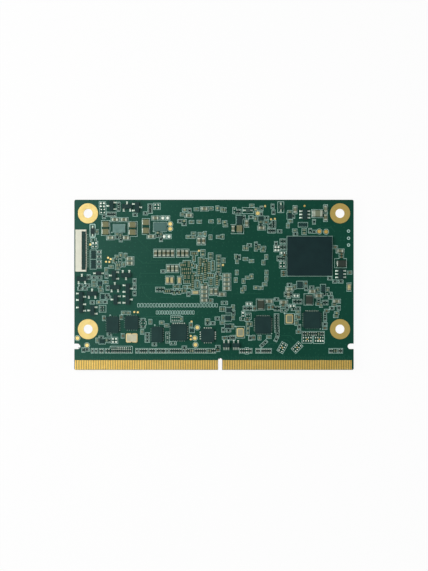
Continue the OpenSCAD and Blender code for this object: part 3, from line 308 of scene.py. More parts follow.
black = grained_finish("black_plastic", (24, 62, 58), (18, 52, 49), 0.42, specular=0.2, drift=600, strength=0.15)
ferrite = grained_finish("pressed_powder", (122, 123, 85), (105, 107, 73), 0.6, drift=2200, grain=7000)
cream_ceramic = grained_finish("cream_ceramic", (226, 208, 152), (206, 184, 120), 0.45, drift=900)
alumina = grained_finish("white_alumina", (184, 198, 182), (166, 180, 166), 0.5, drift=1800)
glaze = grained_finish("resistor_glaze", (9, 48, 45), (6, 40, 38), 0.34, specular=0.15, drift=1500, strength=0.1)
ink = grained_finish("white_ink", (184, 216, 206), (164, 200, 189), 0.6, specular=0.2, drift=3000, strength=0.2)
print("finishes:", len(bpy.data.materials))

# %% [markdown]
# ## Solder mask and laminate
# The board is one solid, but two materials: green lacquer on its faces and bare glass laminate round
# its edge and in its slots. The surface's own normal tells them apart: it points up or down on a
# face and sideways on an edge. Under the lacquer the glass cloth shows as a faint weave, so two
# crossed waves make the bump.

# %% Solder mask
MASK_GLOSS, MASK_SPECULAR, MASK_TINT = 0.28, 0.21, (0.62, 1.0, 0.98, 1.0)
BARE_EDGE = srgb(150, 158, 112)
WEAVE = {"Scale": 620.0, "Distortion": 0.6}
mask, nodes, links, shader = new_material("solder_mask", MASK_GLOSS, specular=MASK_SPECULAR)
shader.inputs["Specular Tint"].default_value = MASK_TINT
lacquer = drifting(nodes, (21, 74, 58), (18, 68, 53), scale=60.0)
normal = new_node(nodes, "NewGeometry")
split = new_node(nodes, "SeparateXYZ")
upright = new_node(nodes, "Math", operation="ABSOLUTE")
face_or_edge = new_mix(nodes, A=BARE_EDGE)
cloth = new_node(nodes, "TexCoord")
both = new_node(nodes, "Math", operation="MULTIPLY")
for number, direction in enumerate("XY"):
    wave = new_node(nodes, "TexWave", WEAVE, bands_direction=direction)
    join(links, (cloth, "Object", wave, "Vector"), (wave, "Fac", both, number))
bump = new_node(nodes, "Bump", {"Strength": 0.12, "Distance": 0.004 * MM})
join(
    links, (normal, "True Normal", split, "Vector"), (split, "Z", upright, 0),
    (upright, "Value", face_or_edge, "Factor"), (lacquer, "Colour", face_or_edge, "B"),
    (face_or_edge, "Result", shader, "Base Color"), (both, "Value", bump, "Height"),
    (bump, "Normal", shader, "Normal"),
)
track_mask = grained_finish("mask_over_copper", (31, 90, 72), (28, 83, 66), 0.4, specular=0.14, drift=200,
                            strength=0.05)
print("mask nodes:", len(nodes))

# %% [markdown]
# ## Fired ceramic with its own tone for each part
# Ceramic capacitors come from many reels: most are tan, some brown, a few almost yellow. Each part's
# points carry one number, its reel, and a ramp turns that number into a colour. The yellow ones have
# thin ends that take on the same straw tone, so their end caps carry the number as well.

# %% Capacitor ceramic
REEL = "reel"
REEL_TONES = [(0.0, (106, 92, 64)), (0.3, (108, 113, 88)), (0.7, (134, 147, 121)), (1.0, (188, 178, 128))]
STRAW = srgb(192, 180, 134)
ceramic, nodes, links, shader = new_material("capacitor_ceramic", 0.42, specular=0.4)
reel = new_node(nodes, "Attribute", attribute_name=REEL)
ramp = new_node(nodes, "ValToRGB")
stops = ramp.color_ramp.elements
stops.remove(stops[1])
stops[0].color = srgb(*REEL_TONES[0][1])
for position, tone in REEL_TONES[1:]:
    stops.new(position).color = srgb(*tone)
fired = new_node(nodes, "Group", {"Scale": 7000.0, "Depth": 0.01 * MM}, node_tree=GRAIN)
join(links, (reel, "Fac", ramp, "Fac"), (ramp, "Color", shader, "Base Color"), (fired, "Normal", shader, "Normal"))
tinned, nodes, links, shader = new_material("tinned_ends", 0.38, 0.5)
plain = drifting(nodes, (198, 209, 191), (166, 178, 161), TIN_DRIFT)
straw_share = new_node(nodes, "Attribute", attribute_name=REEL)
straw = new_mix(nodes, B=STRAW)
join(
    links, (straw_share, "Fac", straw, "Factor"), (plain, "Colour", straw, "A"),
    (straw, "Result", shader, "Base Color"),
)
print("reel colours:", len(REEL_TONES))

# %% [markdown]
# ## Tin with its own shine for each spot
# Some pads and end caps are freshly tinned and bright, others are dull. As with the ceramic, each spot's
# points carry one number, its shine, and the colour goes from dull to bright. The same number paints shade
# where a contact lies in a part's shadow and paints light where a crown or a side is lit.

# %% Soldered tin
LIGHT_AND_SHINE = "shine"
# Painted shade: the dull end of the mix is a dark green that also stands for shade
DULL_AND_SHADED_TIN = srgb(32, 97, 86)
soldered, nodes, links, shader = new_material("soldered_tin", 0.38, 0.15)
fresh = drifting(nodes, (246, 252, 240), (228, 239, 225), TIN_DRIFT)
shine = new_node(nodes, "Attribute", attribute_name=LIGHT_AND_SHINE)
shade_to_shine = new_mix(nodes, A=DULL_AND_SHADED_TIN)
join(
    links, (shine, "Fac", shade_to_shine, "Factor"), (fresh, "Colour", shade_to_shine, "B"),
    (shade_to_shine, "Result", shader, "Base Color"),
)
print("soldered nodes:", len(nodes))

# %% [markdown]
# ## Tones that follow the place
# The lids of the crystals are rolled from nickel-plated sheet: the large one on the left is light, the two
# small ones further right are darker. Diodes, dies and chokes also come in a lighter and a darker kind. The
# gold of the rings and pads carries a painted reflection: lighter on the left and darker towards the right,
# as the key panel's reflection fades across the board. One material serves each, because its tone follows
# the place along the board, so it needs no image and no second slot.


# %% Lids, diode mouldings, dies, chokes and rings
def finish_along_board(name, left_a, left_b, right, span, roughness, metallic=0.0, specular=0.5, strength=0.1):
    """Two drifting tones on the left turn into one tone on the right over a span along X, in millimetres."""
    material, nodes, links, shader = new_material(name, roughness, metallic, specular)
    place = new_node(nodes, "TexCoord")
    split = new_node(nodes, "SeparateXYZ")
    along_board = new_node(nodes, "MapRange", {"From Min": span[0] * MM, "From Max": span[1] * MM})
    mix = new_mix(nodes, B=srgb(*right))
    left = drifting(nodes, left_a, left_b, scale=700.0)
    fine = new_node(nodes, "Group", {"Scale": 7000.0, "Strength": strength}, node_tree=GRAIN)
    join(
        links, (place, "Object", split, "Vector"), (split, "X", along_board, "Value"),
        (along_board, "Result", mix, "Factor"), (left, "Colour", mix, "A"),
        (mix, "Result", shader, "Base Color"), (fine, "Normal", shader, "Normal"),
    )
    return material


lid = finish_along_board("rolled_lid", (198, 196, 169), (173, 171, 146), (136, 148, 124), (-20, 22), 0.36, 0.5)
diode_mould = finish_along_board(
    "diode_mould", (34, 55, 54), (28, 48, 48), (60, 88, 80), (-30, -10), 0.5, specular=0.2, strength=0.2)
die = finish_along_board(
    "coated_die", (96, 137, 128), (72, 113, 106), (62, 104, 97), (-24, -18), 0.28, strength=0.05)
dark_ferrite = finish_along_board(
    "fired_ferrite", (43, 58, 40), (35, 48, 34), (27, 44, 33), (12, 30), 0.5, strength=0.25)
# Painted reflection: the ring and pad gold is lighter on the left and darker towards the right
ring_gold_painted_reflection = finish_along_board(
    "ring_gold_painted_reflection", (228, 204, 132), (218, 192, 118), (199, 172, 95), (-5, 36), 0.44, 0.5, strength=0.15)
pad_gold_painted_reflection = finish_along_board(
    "pad_gold_painted_reflection", (241, 216, 142), (231, 204, 127), (212, 172, 90), (14, 34), 0.44, 0.5, strength=0.15)
ALONG_BOARD = (lid, diode_mould, die, dark_ferrite, ring_gold_painted_reflection, pad_gold_painted_reflection)
print("finishes along the board:", [finish.name for finish in ALONG_BOARD])

# %% [markdown]
# ## Reading the solids
# A node such as the end caps is hundreds of separate solids in one mesh. To put solder on each, the
# script has to know where each one is. Points at the same place get the same number. Then every
# point takes the lowest number in its triangles, again and again, until each solid has a number of
# its own. The largest upright face gives the solid's direction, so turned parts are measured
# square to themselves.

# %% Separate solids of a node, as boxes
Boxes = namedtuple("Boxes", "centre axis half")
SAME_DIGITS, UPRIGHT = 3, 0.2


def across_of(axis):
    """The direction a quarter turn to the left of each direction."""
    return np.stack([-axis[..., 1], axis[..., 0]], axis=-1)


def boxes_of(node):
    """Centre (n, 3), direction of the first side (n, 2) and half sizes along it, across it and up (n, 3)."""
    mesh = NODES[node].data
    points = np.empty(len(mesh.vertices) * 3, np.float32)
    mesh.vertices.foreach_get("co", points)
    points = points.reshape(-1, 3).astype(float)
    mesh.calc_loop_triangles()
    corners = np.empty(len(mesh.loop_triangles) * 3, np.int32)
    mesh.loop_triangles.foreach_get("vertices", corners)
    rounded = np.round(points / MM, SAME_DIGITS)
    _, first, same = np.unique(rounded, axis=0, return_index=True, return_inverse=True)
    corners = same.reshape(-1)[corners].reshape(-1, 3)
    points = points[first]
    label = np.arange(len(points))
    settled = False
    while not settled:
        lower = label.copy()
        np.minimum.at(lower, corners.ravel(), np.repeat(label[corners].min(axis=1), 3))
        lower = lower[lower]
        settled = bool((lower == label).all())
        label = lower
    names, solid = np.unique(label[corners[:, 0]], return_inverse=True)
    edge_a = points[corners[:, 1]] - points[corners[:, 0]]
    edge_b = points[corners[:, 2]] - points[corners[:, 0]]
    normal = np.cross(edge_a, edge_b)
    area = np.linalg.norm(normal, axis=1)
    area = np.where(np.abs(normal[:, 2]) < UPRIGHT * area, area, 0.0)
    order = np.lexsort((area, solid))
    largest = order[np.searchsorted(solid[order], np.arange(len(names)), side="right") - 1]
    axis = normal[largest, :2] / np.linalg.norm(normal[largest, :2], axis=1, keepdims=True)
    across = across_of(axis)
    spots = points[corners].reshape(-1, 3)
    owner = np.repeat(solid, 3)
    sides = [(spots[:, :2] * way[owner]).sum(1) for way in (axis, across)]
    local = np.stack([*sides, spots[:, 2]], axis=1)
    low = np.full((len(names), 3), np.inf)
    high = -low
    np.minimum.at(low, owner, local)
    np.maximum.at(high, owner, local)
    middle = (low + high) / 2
    flat = axis * middle[:, :1] + across * middle[:, 1:2]
    return Boxes(np.column_stack([flat, middle[:, 2]]), axis, (high - low) / 2)


def joined(*several):
    """Several sets of boxes as one."""
    return Boxes(*(np.concatenate(part) for part in zip(*several)))


def chosen(boxes, rows):
    """Some of the boxes, by number or by a mask."""
    return Boxes(*(part[rows] for part in boxes))


def alike(x, y, z, half):
    """Boxes of one size along X; each of x, y and z is a list of places or one number for all."""
    centre = np.column_stack(np.broadcast_arrays(x, y, z))
    return Boxes(centre, np.tile([1.0, 0.0], (len(centre), 1)), np.tile(half, (len(centre), 1)))


BOXES = {name: boxes_of(name) for name in NODES}
print("separate solids:", sum(len(b.centre) for b in BOXES.values()))

# %% [markdown]
# ## Which way is out
# Solder climbs the outer face of an end cap, a contact or a lead. The outer face is the one that
# looks away from the part that the terminal belongs to. The nearest body is found by the gap between
# the terminal and the body's box, and the side of that box with the larger offset is the way out.

# %% Outward direction of each terminal
ALONG_COSINE = 0.7


def offsets(spots, boxes):
    """How far each spot lies from each box's centre, along the box's direction and across it."""
    gap = spots[..., None, :2] - boxes.centre[:, :2]
    return (gap * boxes.axis).sum(-1), (gap * across_of(boxes.axis)).sum(-1)


def outward(ends, bodies):
    """For each end: the number of its body and the unit direction from the body's nearest side outwards."""
    along, aside = offsets(ends.centre, bodies)
    past = np.maximum(np.abs(along) - bodies.half[:, 0], np.abs(aside) - bodies.half[:, 1])
    mine = past.argmin(axis=1)
    row = np.arange(len(mine))
    along, aside = along[row, mine], aside[row, mine]
    first = np.abs(along) - bodies.half[mine, 0] > np.abs(aside) - bodies.half[mine, 1]
    axis = bodies.axis[mine]
    way = np.where(first[:, None], axis * np.sign(along)[:, None], across_of(axis) * np.sign(aside)[:, None])
    return mine, way


def reach(boxes, way):
    """Half size of each box along a direction, and across it."""
    match = np.abs((boxes.axis * way).sum(1)) > ALONG_COSINE
    first, second = boxes.half[:, 0], boxes.half[:, 1]
    return np.where(match, first, second), np.where(match, second, first)


TERMINALS = [
    ("tiny_capacitor_ends", "tiny_capacitors"), ("small_capacitor_ends", "small_capacitors"),
    ("medium_capacitor_ends", "medium_capacitors"), ("large_capacitor_ends", "large_capacitor"),
    ("resistor_ends", "resistors"),
]
print("terminals:", sum(len(BOXES[e].centre) for e, _ in TERMINALS))

# %% [markdown]
# ## Slim rows
# In the crowded row above the fingers, and in the short row near the right-hand chip, the parts stand
# so close that only the crowns of their caps catch the light. There the visible blocks are narrower
# than their solids, which opens a dark gap between neighbours.

# %% Slimmer blocks in the crowded rows
ROW_LEVELS = np.array([-19.35, -14.35]) * MM
ROW_STARTS = np.array([-36.5, 25.5]) * MM
ROW_REACH = 0.6 * MM
SLIM_SHARE = 0.66


def in_row(boxes):
    """Whether each box lies in one of the crowded rows."""
    level = np.abs(boxes.centre[:, 1:2] - ROW_LEVELS) < ROW_REACH
    return (level & (boxes.centre[:, :1] > ROW_STARTS)).any(axis=1)


def slimmed(boxes):
    """The boxes of the crowded rows with a share of their width in X; the others as they are."""
    half = boxes.half.copy()
    side = np.where(np.abs(boxes.axis[:, 0]) > ALONG_COSINE, 0, 1)
    slim = np.nonzero(in_row(boxes))[0]
    half[slim, side[slim]] *= SLIM_SHARE
    return boxes._replace(half=half)


for node in ("resistors", "resistor_ends", "small_capacitors", "small_capacitor_ends"):
    BOXES[node] = slimmed(BOXES[node])
print("slim ends:", int(in_row(BOXES["resistor_ends"]).sum()))

# %% [markdown]
# ## Rounded chip parts
# A fired ceramic block has no sharp edges: tumbling rounds them before the ends are dipped. Rounding
# hundreds of blocks with a modifier would be slow, so one function makes them all at once. A ring of
# eight points, a rectangle with its corners cut, is carried up through four levels, pulled in at the
# lowest and the highest one.

# %% Rounded blocks, all in one array
RING_SIGN_X = np.array([1, 1, 1, -1, -1, -1, -1, 1])
RING_SIGN_Y = np.array([-1, 1, 1, 1, 1, -1, -1, -1])
RING_CUT_X = np.array([0, 0, 1, 1, 0, 0, 1, 1])
RING_CUT_Y = 1 - RING_CUT_X
LEVEL_SIGN = np.array([-1, -1, 1, 1])
LEVEL_IN = np.array([1, 0, 0, 1])
LEVELS, AROUND = len(LEVEL_SIGN), len(RING_SIGN_X)
CAP_QUADS = np.array([[0, 1, 2, 3], [0, 3, 4, 7], [4, 5, 6, 7]])
MOST_CUT = 0.6


def tube_quads(levels, around):
    """Faces between neighbouring rings of a tube: point (level, k) to its next in the ring and the ring above."""
    level, k = np.meshgrid(np.arange(levels - 1), np.arange(around), indexing="ij")
    after = (k + 1) % around
    lower, upper = level * around, (level + 1) * around
    return np.stack([lower + k, lower + after, upper + after, upper + k], axis=-1).reshape(-1, 4)


def repeated(quads, points_each, count):
    """The same faces for each of count copies that follow each other in the list of points."""
    return (quads[None] + (np.arange(count) * points_each)[:, None, None]).reshape(-1, 4)


def placed(boxes, x, y, z):
    """Local x, y, z (boxes, levels, points round) turned and moved to each box; two caps close each tube."""
    axis, across = boxes.axis[:, None, None, :], across_of(boxes.axis)[:, None, None, :]
    flat = boxes.centre[:, None, None, :2] + x[..., None] * axis + y[..., None] * across
    up = np.broadcast_to(boxes.centre[:, 2, None, None] + z, x.shape)
    caps = np.concatenate([CAP_QUADS[:, ::-1], CAP_QUADS + (LEVELS - 1) * AROUND])
    quads = np.concatenate([tube_quads(LEVELS, AROUND), caps])
    return np.concatenate([flat, up[..., None]], axis=-1), repeated(quads, LEVELS * AROUND, len(boxes.centre))


def rounded_blocks(boxes, soft):
    """x = sign (half - corner cut - inset), y likewise, z = level (half height - softness); one block per box."""
    cut = np.minimum(soft, boxes.half.min(axis=1) * MOST_CUT)[:, None, None]
    inset = cut * LEVEL_IN[None, :, None]
    x = RING_SIGN_X * (boxes.half[:, 0, None, None] - cut * RING_CUT_X - inset)
    y = RING_SIGN_Y * (boxes.half[:, 1, None, None] - cut * RING_CUT_Y - inset)
    z = LEVEL_SIGN[None, :, None] * (boxes.half[:, 2, None, None] - cut * (1 - LEVEL_IN[None, :, None]))
    return placed(boxes, x, y, z)


CHIP_SOFT = 0.05 * MM
random = np.random.default_rng(7)
REEL_MIDDLE = {"tiny_capacitors": 0.8, "small_capacitors": 0.66, "medium_capacitors": 0.34, "large_capacitor": 0.6}
REEL_SPREAD, REEL_LOW, REEL_HIGH = 0.12, 0.25, 0.9
BROWN_REEL, YELLOW_REEL, YELLOW_ENDS = 0.05, 1.0, 0.8
SAME_PART, SAME_ENDS, SAME_RESISTOR = 0.3 * MM, 1.0 * MM, 0.8 * MM
BROWN = np.array([
    [35.6, 11.05], [37.4, 8.98], [37.4, 8.15], [26.9, 0.4], [39.8, 3.6], [30.5, -5.55], [16.1, -6.6], [11.9, -6.9],
    [17.2, -6.5], [20.25, -6.0], [-27.2, -9.5], [-32.3, -9.8], [-26.8, -15.0], [-6.8, -11.8], [3.1, -15.6],
    [11.6, -15.45], [24.96, -9.5], [24.8, -13.75], [33.05, -7.6], [32.5, -12.65], [9.8, -10.2], [1.1, -19.1],
    [15.3, 18.4], [20.4, 3.77], [20.4, 2.97], [20.65, 8.7], [-1.0, -4.6], [-33.4, -0.65],
]) * MM
YELLOW = np.array([[-13.65, 1.4], [-12.4, 1.4], [-10.2, 1.35], [-5.4, -2.2], [39.6, -0.65]]) * MM


def near_any(centre, places, distance):
    """Whether each centre lies within a distance of any of the places."""
    gap = np.linalg.norm(centre[:, None, :2] - places[None], axis=-1)
    return (gap < distance).any(axis=1)


def carry(piece, label, values):
    """Gives all points of each block the block's own number."""
    attribute = piece.data.attributes.new(label, "FLOAT", "POINT")
    each = len(piece.data.vertices) // len(values)
    attribute.data.foreach_set("value", np.repeat(values, each).astype(np.float32))


for node, middle in REEL_MIDDLE.items():
    centre = BOXES[node].centre
    reels = np.clip(random.normal(middle, REEL_SPREAD, len(centre)), REEL_LOW, REEL_HIGH)
    reels[near_any(centre, BROWN, SAME_PART)] = BROWN_REEL
    reels[near_any(centre, YELLOW, SAME_PART)] = YELLOW_REEL
    piece = new_piece(node + "_fired", *rounded_blocks(BOXES[node], CHIP_SOFT), ceramic, "ceramic_tan")
    carry(piece, REEL, reels)
    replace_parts(piece, node)
END_FINISH = {
    "tiny_capacitor_ends": warm_tin, "small_capacitor_ends": dull_tin, "medium_capacitor_ends": tinned,
    "large_capacitor_ends": tinned, "resistor_ends": soldered,
}
BRIGHT_ENDS = np.array([[-33.6, 9.6], [-33.6, 8.2], [-33.6, 6.8], [-33.6, 5.4]]) * MM
# Painted highlight: resistor ends in the crowded rows get a higher shine, for crowns that catch the light
ROW_HIGHLIGHT, PLAIN_SHINE, BRIGHT_SHINE = 0.6, 0.3, 0.75
RESISTOR_SHINE_AND_HIGHLIGHT = np.where(in_row(BOXES["resistor_ends"]), ROW_HIGHLIGHT, PLAIN_SHINE)
RESISTOR_SHINE_AND_HIGHLIGHT[near_any(BOXES["resistor_ends"].centre, BRIGHT_ENDS, SAME_RESISTOR)] = BRIGHT_SHINE
for node, _ in TERMINALS:
    piece = new_piece(node + "_dipped", *rounded_blocks(BOXES[node], CHIP_SOFT), END_FINISH[node], "tin_solder")
    carry(piece, REEL, near_any(BOXES[node].centre, YELLOW, SAME_ENDS) * YELLOW_ENDS)
    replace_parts(piece, node)
    if node == "resistor_ends":
        carry(piece, LIGHT_AND_SHINE, RESISTOR_SHINE_AND_HIGHLIGHT)
piece = new_piece("resistors_fired", *rounded_blocks(BOXES["resistors"], CHIP_SOFT), alumina, "resistor_glaze")
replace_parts(piece, "resistors")

# %% [markdown]
# ## Glaze on the resistors
# A chip resistor is a white alumina block. Its resistive film lies under a window of dark glass
# that leaves a narrow white rim on both long sides. The window is a second, flatter block that is
# sunk into the first.

# %% Dark windows
WINDOW_WIDE, WINDOW_HALF, WINDOW_RISE, WINDOW_GAP = 0.97, 0.03 * MM, 0.025 * MM, 0.01 * MM
WINDOW_SOFT = 0.02 * MM
chips = BOXES["resistors"]
mine, way = outward(BOXES["resistor_ends"], chips)
chip_way = np.zeros((len(chips.centre), 2))
chip_way[mine] = way
chip_long, chip_wide = reach(chips, chip_way)
window_half = np.column_stack(np.broadcast_arrays(chip_long - WINDOW_GAP, chip_wide * WINDOW_WIDE, WINDOW_HALF))
window_centre = chips.centre.copy()
window_centre[:, 2] += chips.half[:, 2] + WINDOW_RISE - WINDOW_HALF
windows = Boxes(window_centre, chip_way, window_half)
new_piece("resistor_windows", *rounded_blocks(windows, WINDOW_SOFT), glaze, "resistor_glaze")

# %% [markdown]
# ## Solder fillets
# When a board leaves the oven, molten solder has climbed each terminal and frozen in a hollow curve
# from the terminal's face down to the edge of its pad. The fillet's profile is a low trapezium. It is
# carried outwards along the way found above, and its height falls with the square of the distance,
# which gives the hollow curve.

# %% One fillet for every terminal
FILLET_STATIONS = np.array([0.0, 0.3, 0.65, 1.0])
PROFILE_SIDE = np.array([-1.0, 1.0, 1.0, -1.0])
PROFILE_TOP = np.array([0, 0, 1, 1])
FILLET_FOOT = 0.02 * MM
FILLET_SINK = 0.02 * MM
TOP_LOSS, TOE_LOSS = 0.8, 0.3


def fillets(ends, bodies, toe, climb, flare):
    """Way out = toe t; height = climb (1 - t) squared + foot; half width = terminal's + flare, less on top."""
    _, way = outward(ends, bodies)
    out, side = reach(ends, way)
    t = FILLET_STATIONS[None, :, None]
    height = 2 * ends.half[:, 2, None, None] * climb * (1 - t) ** 2 + FILLET_FOOT
    width = side[:, None, None] + flare * (1 - TOP_LOSS * PROFILE_TOP) - TOE_LOSS * flare * t
    shape = np.broadcast_shapes(height.shape, width.shape)
    far = np.broadcast_to(out[:, None, None] - FILLET_SINK + toe * t, shape)
    aside = np.broadcast_to(PROFILE_SIDE * width, shape)
    z = np.broadcast_to((ends.centre[:, 2] - ends.half[:, 2])[:, None, None] + height * PROFILE_TOP, shape)
    way, across = way[:, None, None], across_of(way)[:, None, None]
    flat = ends.centre[:, None, None, :2] + far[..., None] * way + aside[..., None] * across
    points = np.concatenate([flat, z[..., None]], axis=-1)
    stations, around = len(FILLET_STATIONS), len(PROFILE_SIDE)
    k, last = np.arange(around), (stations - 1) * around
    quads = np.concatenate([tube_quads(stations, around), np.stack([k[::-1], last + k])])
    return points, repeated(quads, stations * around, len(ends.centre))


def solder_up(name, ends, bodies, toe, climb, flare, finish, shine):
    """Fillets of one kind of terminal, toe and flare in millimetres; shine only where the finish reads it."""
    shape = fillets(BOXES[ends], BOXES[bodies], toe * MM, climb, flare * MM)
    piece = new_piece(name + "_fillets", *shape, finish, "tin_solder")
    if finish is soldered:
        carry(piece, LIGHT_AND_SHINE, shine)


# Toe, climb and flare for the terminals in their order
CHIP_FILLETS = {"tiny": (0.06, 0.5, 0.01), "small": (0.07, 0.55, 0.01), "medium": (0.2, 0.5, 0.03),
                "large": (0.3, 0.45, 0.05), "resistor": (0.05, 0.7, 0.0)}
FILLET_SHADE = 0.6
for (name, shape), (ends, bodies) in zip(CHIP_FILLETS.items(), TERMINALS):
    finish = solder if END_FINISH[ends] is tinned else END_FINISH[ends]
    solder_up(name, ends, bodies, *shape, finish, RESISTOR_SHINE_AND_HIGHLIGHT * FILLET_SHADE)

# %% [markdown]
# ## Solder under the leads and contacts
# The leads and side contacts of the larger parts stand on tinned pads that reach a little further
# out. The same fillet serves, with a longer toe.

# %% Fillets of the leaded and leadless parts
OTHER_FILLETS = [
    ("transistor_lead", "transistor_leads", "transistor_bodies", 0.22, 0.16, 0.1, bright_solder),
    ("six_lead", "six_lead_leads", "six_lead_bodies", 0.26, 0.16, 0.08, bright_solder),
    ("five_lead", "five_lead_leads", "five_lead_bodies", 0.26, 0.16, 0.06, soldered),
    ("diode_lead", "diode_leads", "diode_bodies", 0.14, 0.16, 0.08, bright_solder),
    ("mini_contact", "mini_chip_contacts", "mini_chips", 0.14, 0.6, 0.03, shaded_tin),
    ("inductor_end", "power_inductor_ends", "power_inductors", 0.22, 0.35, 0.04, solder),
    ("choke_end", "choke_ends", "chokes", 0.22, 0.35, 0.04, solder),
]
# Painted light and shade: the five-lead fillets are bright on the far side and dull on the near side
FAR_SIDE_LIGHT, NEAR_SIDE_SHADE = 0.9, 0.15
_, five_way = outward(BOXES["five_lead_leads"], BOXES["five_lead_bodies"])
five_lead_side_light = np.where(five_way[:, 1] > 0, FAR_SIDE_LIGHT, NEAR_SIDE_SHADE)
for row in OTHER_FILLETS:
    solder_up(*row, five_lead_side_light)

# %% [markdown]
# ## Solder domes
# A pad without a part, and the pad under the side contact of a leadless chip, end up with a low dome
# of solder: surface tension pulls it round. A dome mirrors a lamp from somewhere on its slope wherever
# it stands, so it stays bright across the whole board. The ring of eight points of the blocks above
# shrinks as it climbs, first slowly and then fast.

# %% Domes on bare pads and beside the leadless chips
DOME_SHARE = np.array([1.0, 0.93, 0.72, 0.36])[None, :, None]
DOME_RISE = np.array([0.0, 0.5, 0.85, 1.0])[None, :, None]
DOME_CUT, DOME_HEIGHT = 0.5, 0.12 * MM
DULL_PADS = np.array([
    [10.4, -9.2], [9.7, -9.2], [6.0, 21.8], [-27.55, 7.2], [-28.6, 7.15], [-13.65, -14.75], [-13.65, -16.15],
    [3.05, -5.3], [-12.0, -17.1], [33.75, -2.65], [20.45, -7.45], [-35.4, 13.2], [8.5, -10.0], [-20.8, -11.25],
    [-12.2, -9.95], [-11.55, -9.95], [-10.9, -9.95], [-10.27, -9.95], [-29.6, -18.47], [-28.9, -18.47],
    [-24.8, -18.47],
]) * MM
BRIGHT_PADS = np.array([
    [-32.7, 23.5], [-35.0, 12.3], [-29.2, -16.3], [18.5, 10.65], [22.95, -6.2], [10.27, -5.58], [24.1, -3.2],
    [19.8, 9.4], [8.56, -8.2], [31.26, -16.42], [-15.01, 19.63], [-13.57, 19.63], [-14.59, 14.2], [-13.15, 14.2],
]) * MM
BRIGHT_REACH, DULL_REACH = 0.75 * MM, 0.62 * MM
BRIGHT_MARGIN, PAD_MARGIN = 0.05, -0.03
DULL_SHINE, PAD_SHINE = 0.4, 1.0
# Shine of the contacts on the left, right, near and far side of each leadless chip, as painted light and
# shade: the right sides, which lie in the chip body's shadow, are mostly raised and the near sides lowered
LEADLESS_SIDE_LIGHT = {
    "codec_chip": (0.02, 0.45, 0.0, 0.02), "bridge_chip": (0.08, 0.35, 0.2, 0.15),
    "clock_chip": (0.08, 0.5, 0.0, 0.08), "hub_chip": (0.32, 0.85, 0.25, 0.9), "switch_chip": (0.9, 1.0, 0.7, 1.0),
    "network_chip_a": (0.4, 0.45, 0.15, 0.4), "network_chip_b": (0.22, 0.2, 0.05, 0.75),
}
LEFT, RIGHT, NEAR, FAR = range(4)
LIT_CONTACT = 0.9
LIT_GROWTH, RIGHT_GROWTH, SIDE_GROWTH = 0.05, 0.12, 0.6
TOE_OUT, TOE_LONGER = 0.04 * MM, 0.06 * MM


def domes(boxes):
    """x = sign (half - corner cut) share, y likewise, z = foot + height times the rise; one dome per box."""
    cut = (boxes.half[:, :2].min(axis=1) * DOME_CUT)[:, None, None]
    x = RING_SIGN_X * (boxes.half[:, 0, None, None] - cut * RING_CUT_X) * DOME_SHARE
    y = RING_SIGN_Y * (boxes.half[:, 1, None, None] - cut * RING_CUT_Y) * DOME_SHARE
    return placed(boxes, x, y, DOME_HEIGHT * DOME_RISE - boxes.half[:, 2, None, None])


def new_domes(name, boxes, values):
    """Solder domes with smooth shading, each with its own shine."""
    piece = new_piece(name, *domes(boxes), soldered, "tin_solder")
    piece.data.polygons.foreach_set("use_smooth", np.ones(len(piece.data.polygons), bool))
    carry(piece, LIGHT_AND_SHINE, values)
    return piece


bare = BOXES["bare_pads"]
bright_pads = near_any(bare.centre, BRIGHT_PADS, BRIGHT_REACH)
pad_margin = np.where(bright_pads, BRIGHT_MARGIN, PAD_MARGIN)[:, None] * np.array([1.0, 1.0, 0.0]) * MM
bare_domes = bare._replace(half=bare.half + pad_margin)
bare_shine = np.where(near_any(bare.centre, DULL_PADS, DULL_REACH), DULL_SHINE, PAD_SHINE)
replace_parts(new_domes("bare_pad_domes", bare_domes, bare_shine), "bare_pads")
contacts = BOXES["leadless_chip_contacts"]
mine, way = outward(contacts, joined(*(BOXES[name] for name in LEADLESS_SIDE_LIGHT)))
out, side = reach(contacts, way)
toe_centre = contacts.centre + np.column_stack([way * (out + TOE_OUT)[:, None], np.zeros(len(way))])
left_right, near_far = np.where(way[:, 0] < 0, LEFT, RIGHT), np.where(way[:, 1] < 0, NEAR, FAR)
chip_side = np.where(np.abs(way[:, 0]) > ALONG_COSINE, left_right, near_far)
# Each contact's shine is painted light and painted shade for its side of the chip
contact_light_and_shade = np.array(list(LEADLESS_SIDE_LIGHT.values()))[mine, chip_side]
growth = np.where(chip_side == RIGHT, RIGHT_GROWTH, LIT_GROWTH)
grown = np.where(contact_light_and_shade >= LIT_CONTACT, growth, 0.0) * MM
toe_half = np.column_stack([out + TOE_LONGER + grown, side + grown * SIDE_GROWTH, contacts.half[:, 2]])
new_domes("leadless_contact_domes_painted_light", Boxes(toe_centre, way, toe_half), contact_light_and_shade)

# %% [markdown]
# ## Comb of the cable connector
# Behind the locking bar the housing ends in a comb: a cream rib stands between each two contacts, and
# each contact's tail runs out under the comb to its own soldered pad. The ribs keep clear of the arc
# that the bar's lower edge sweeps when it flips up.

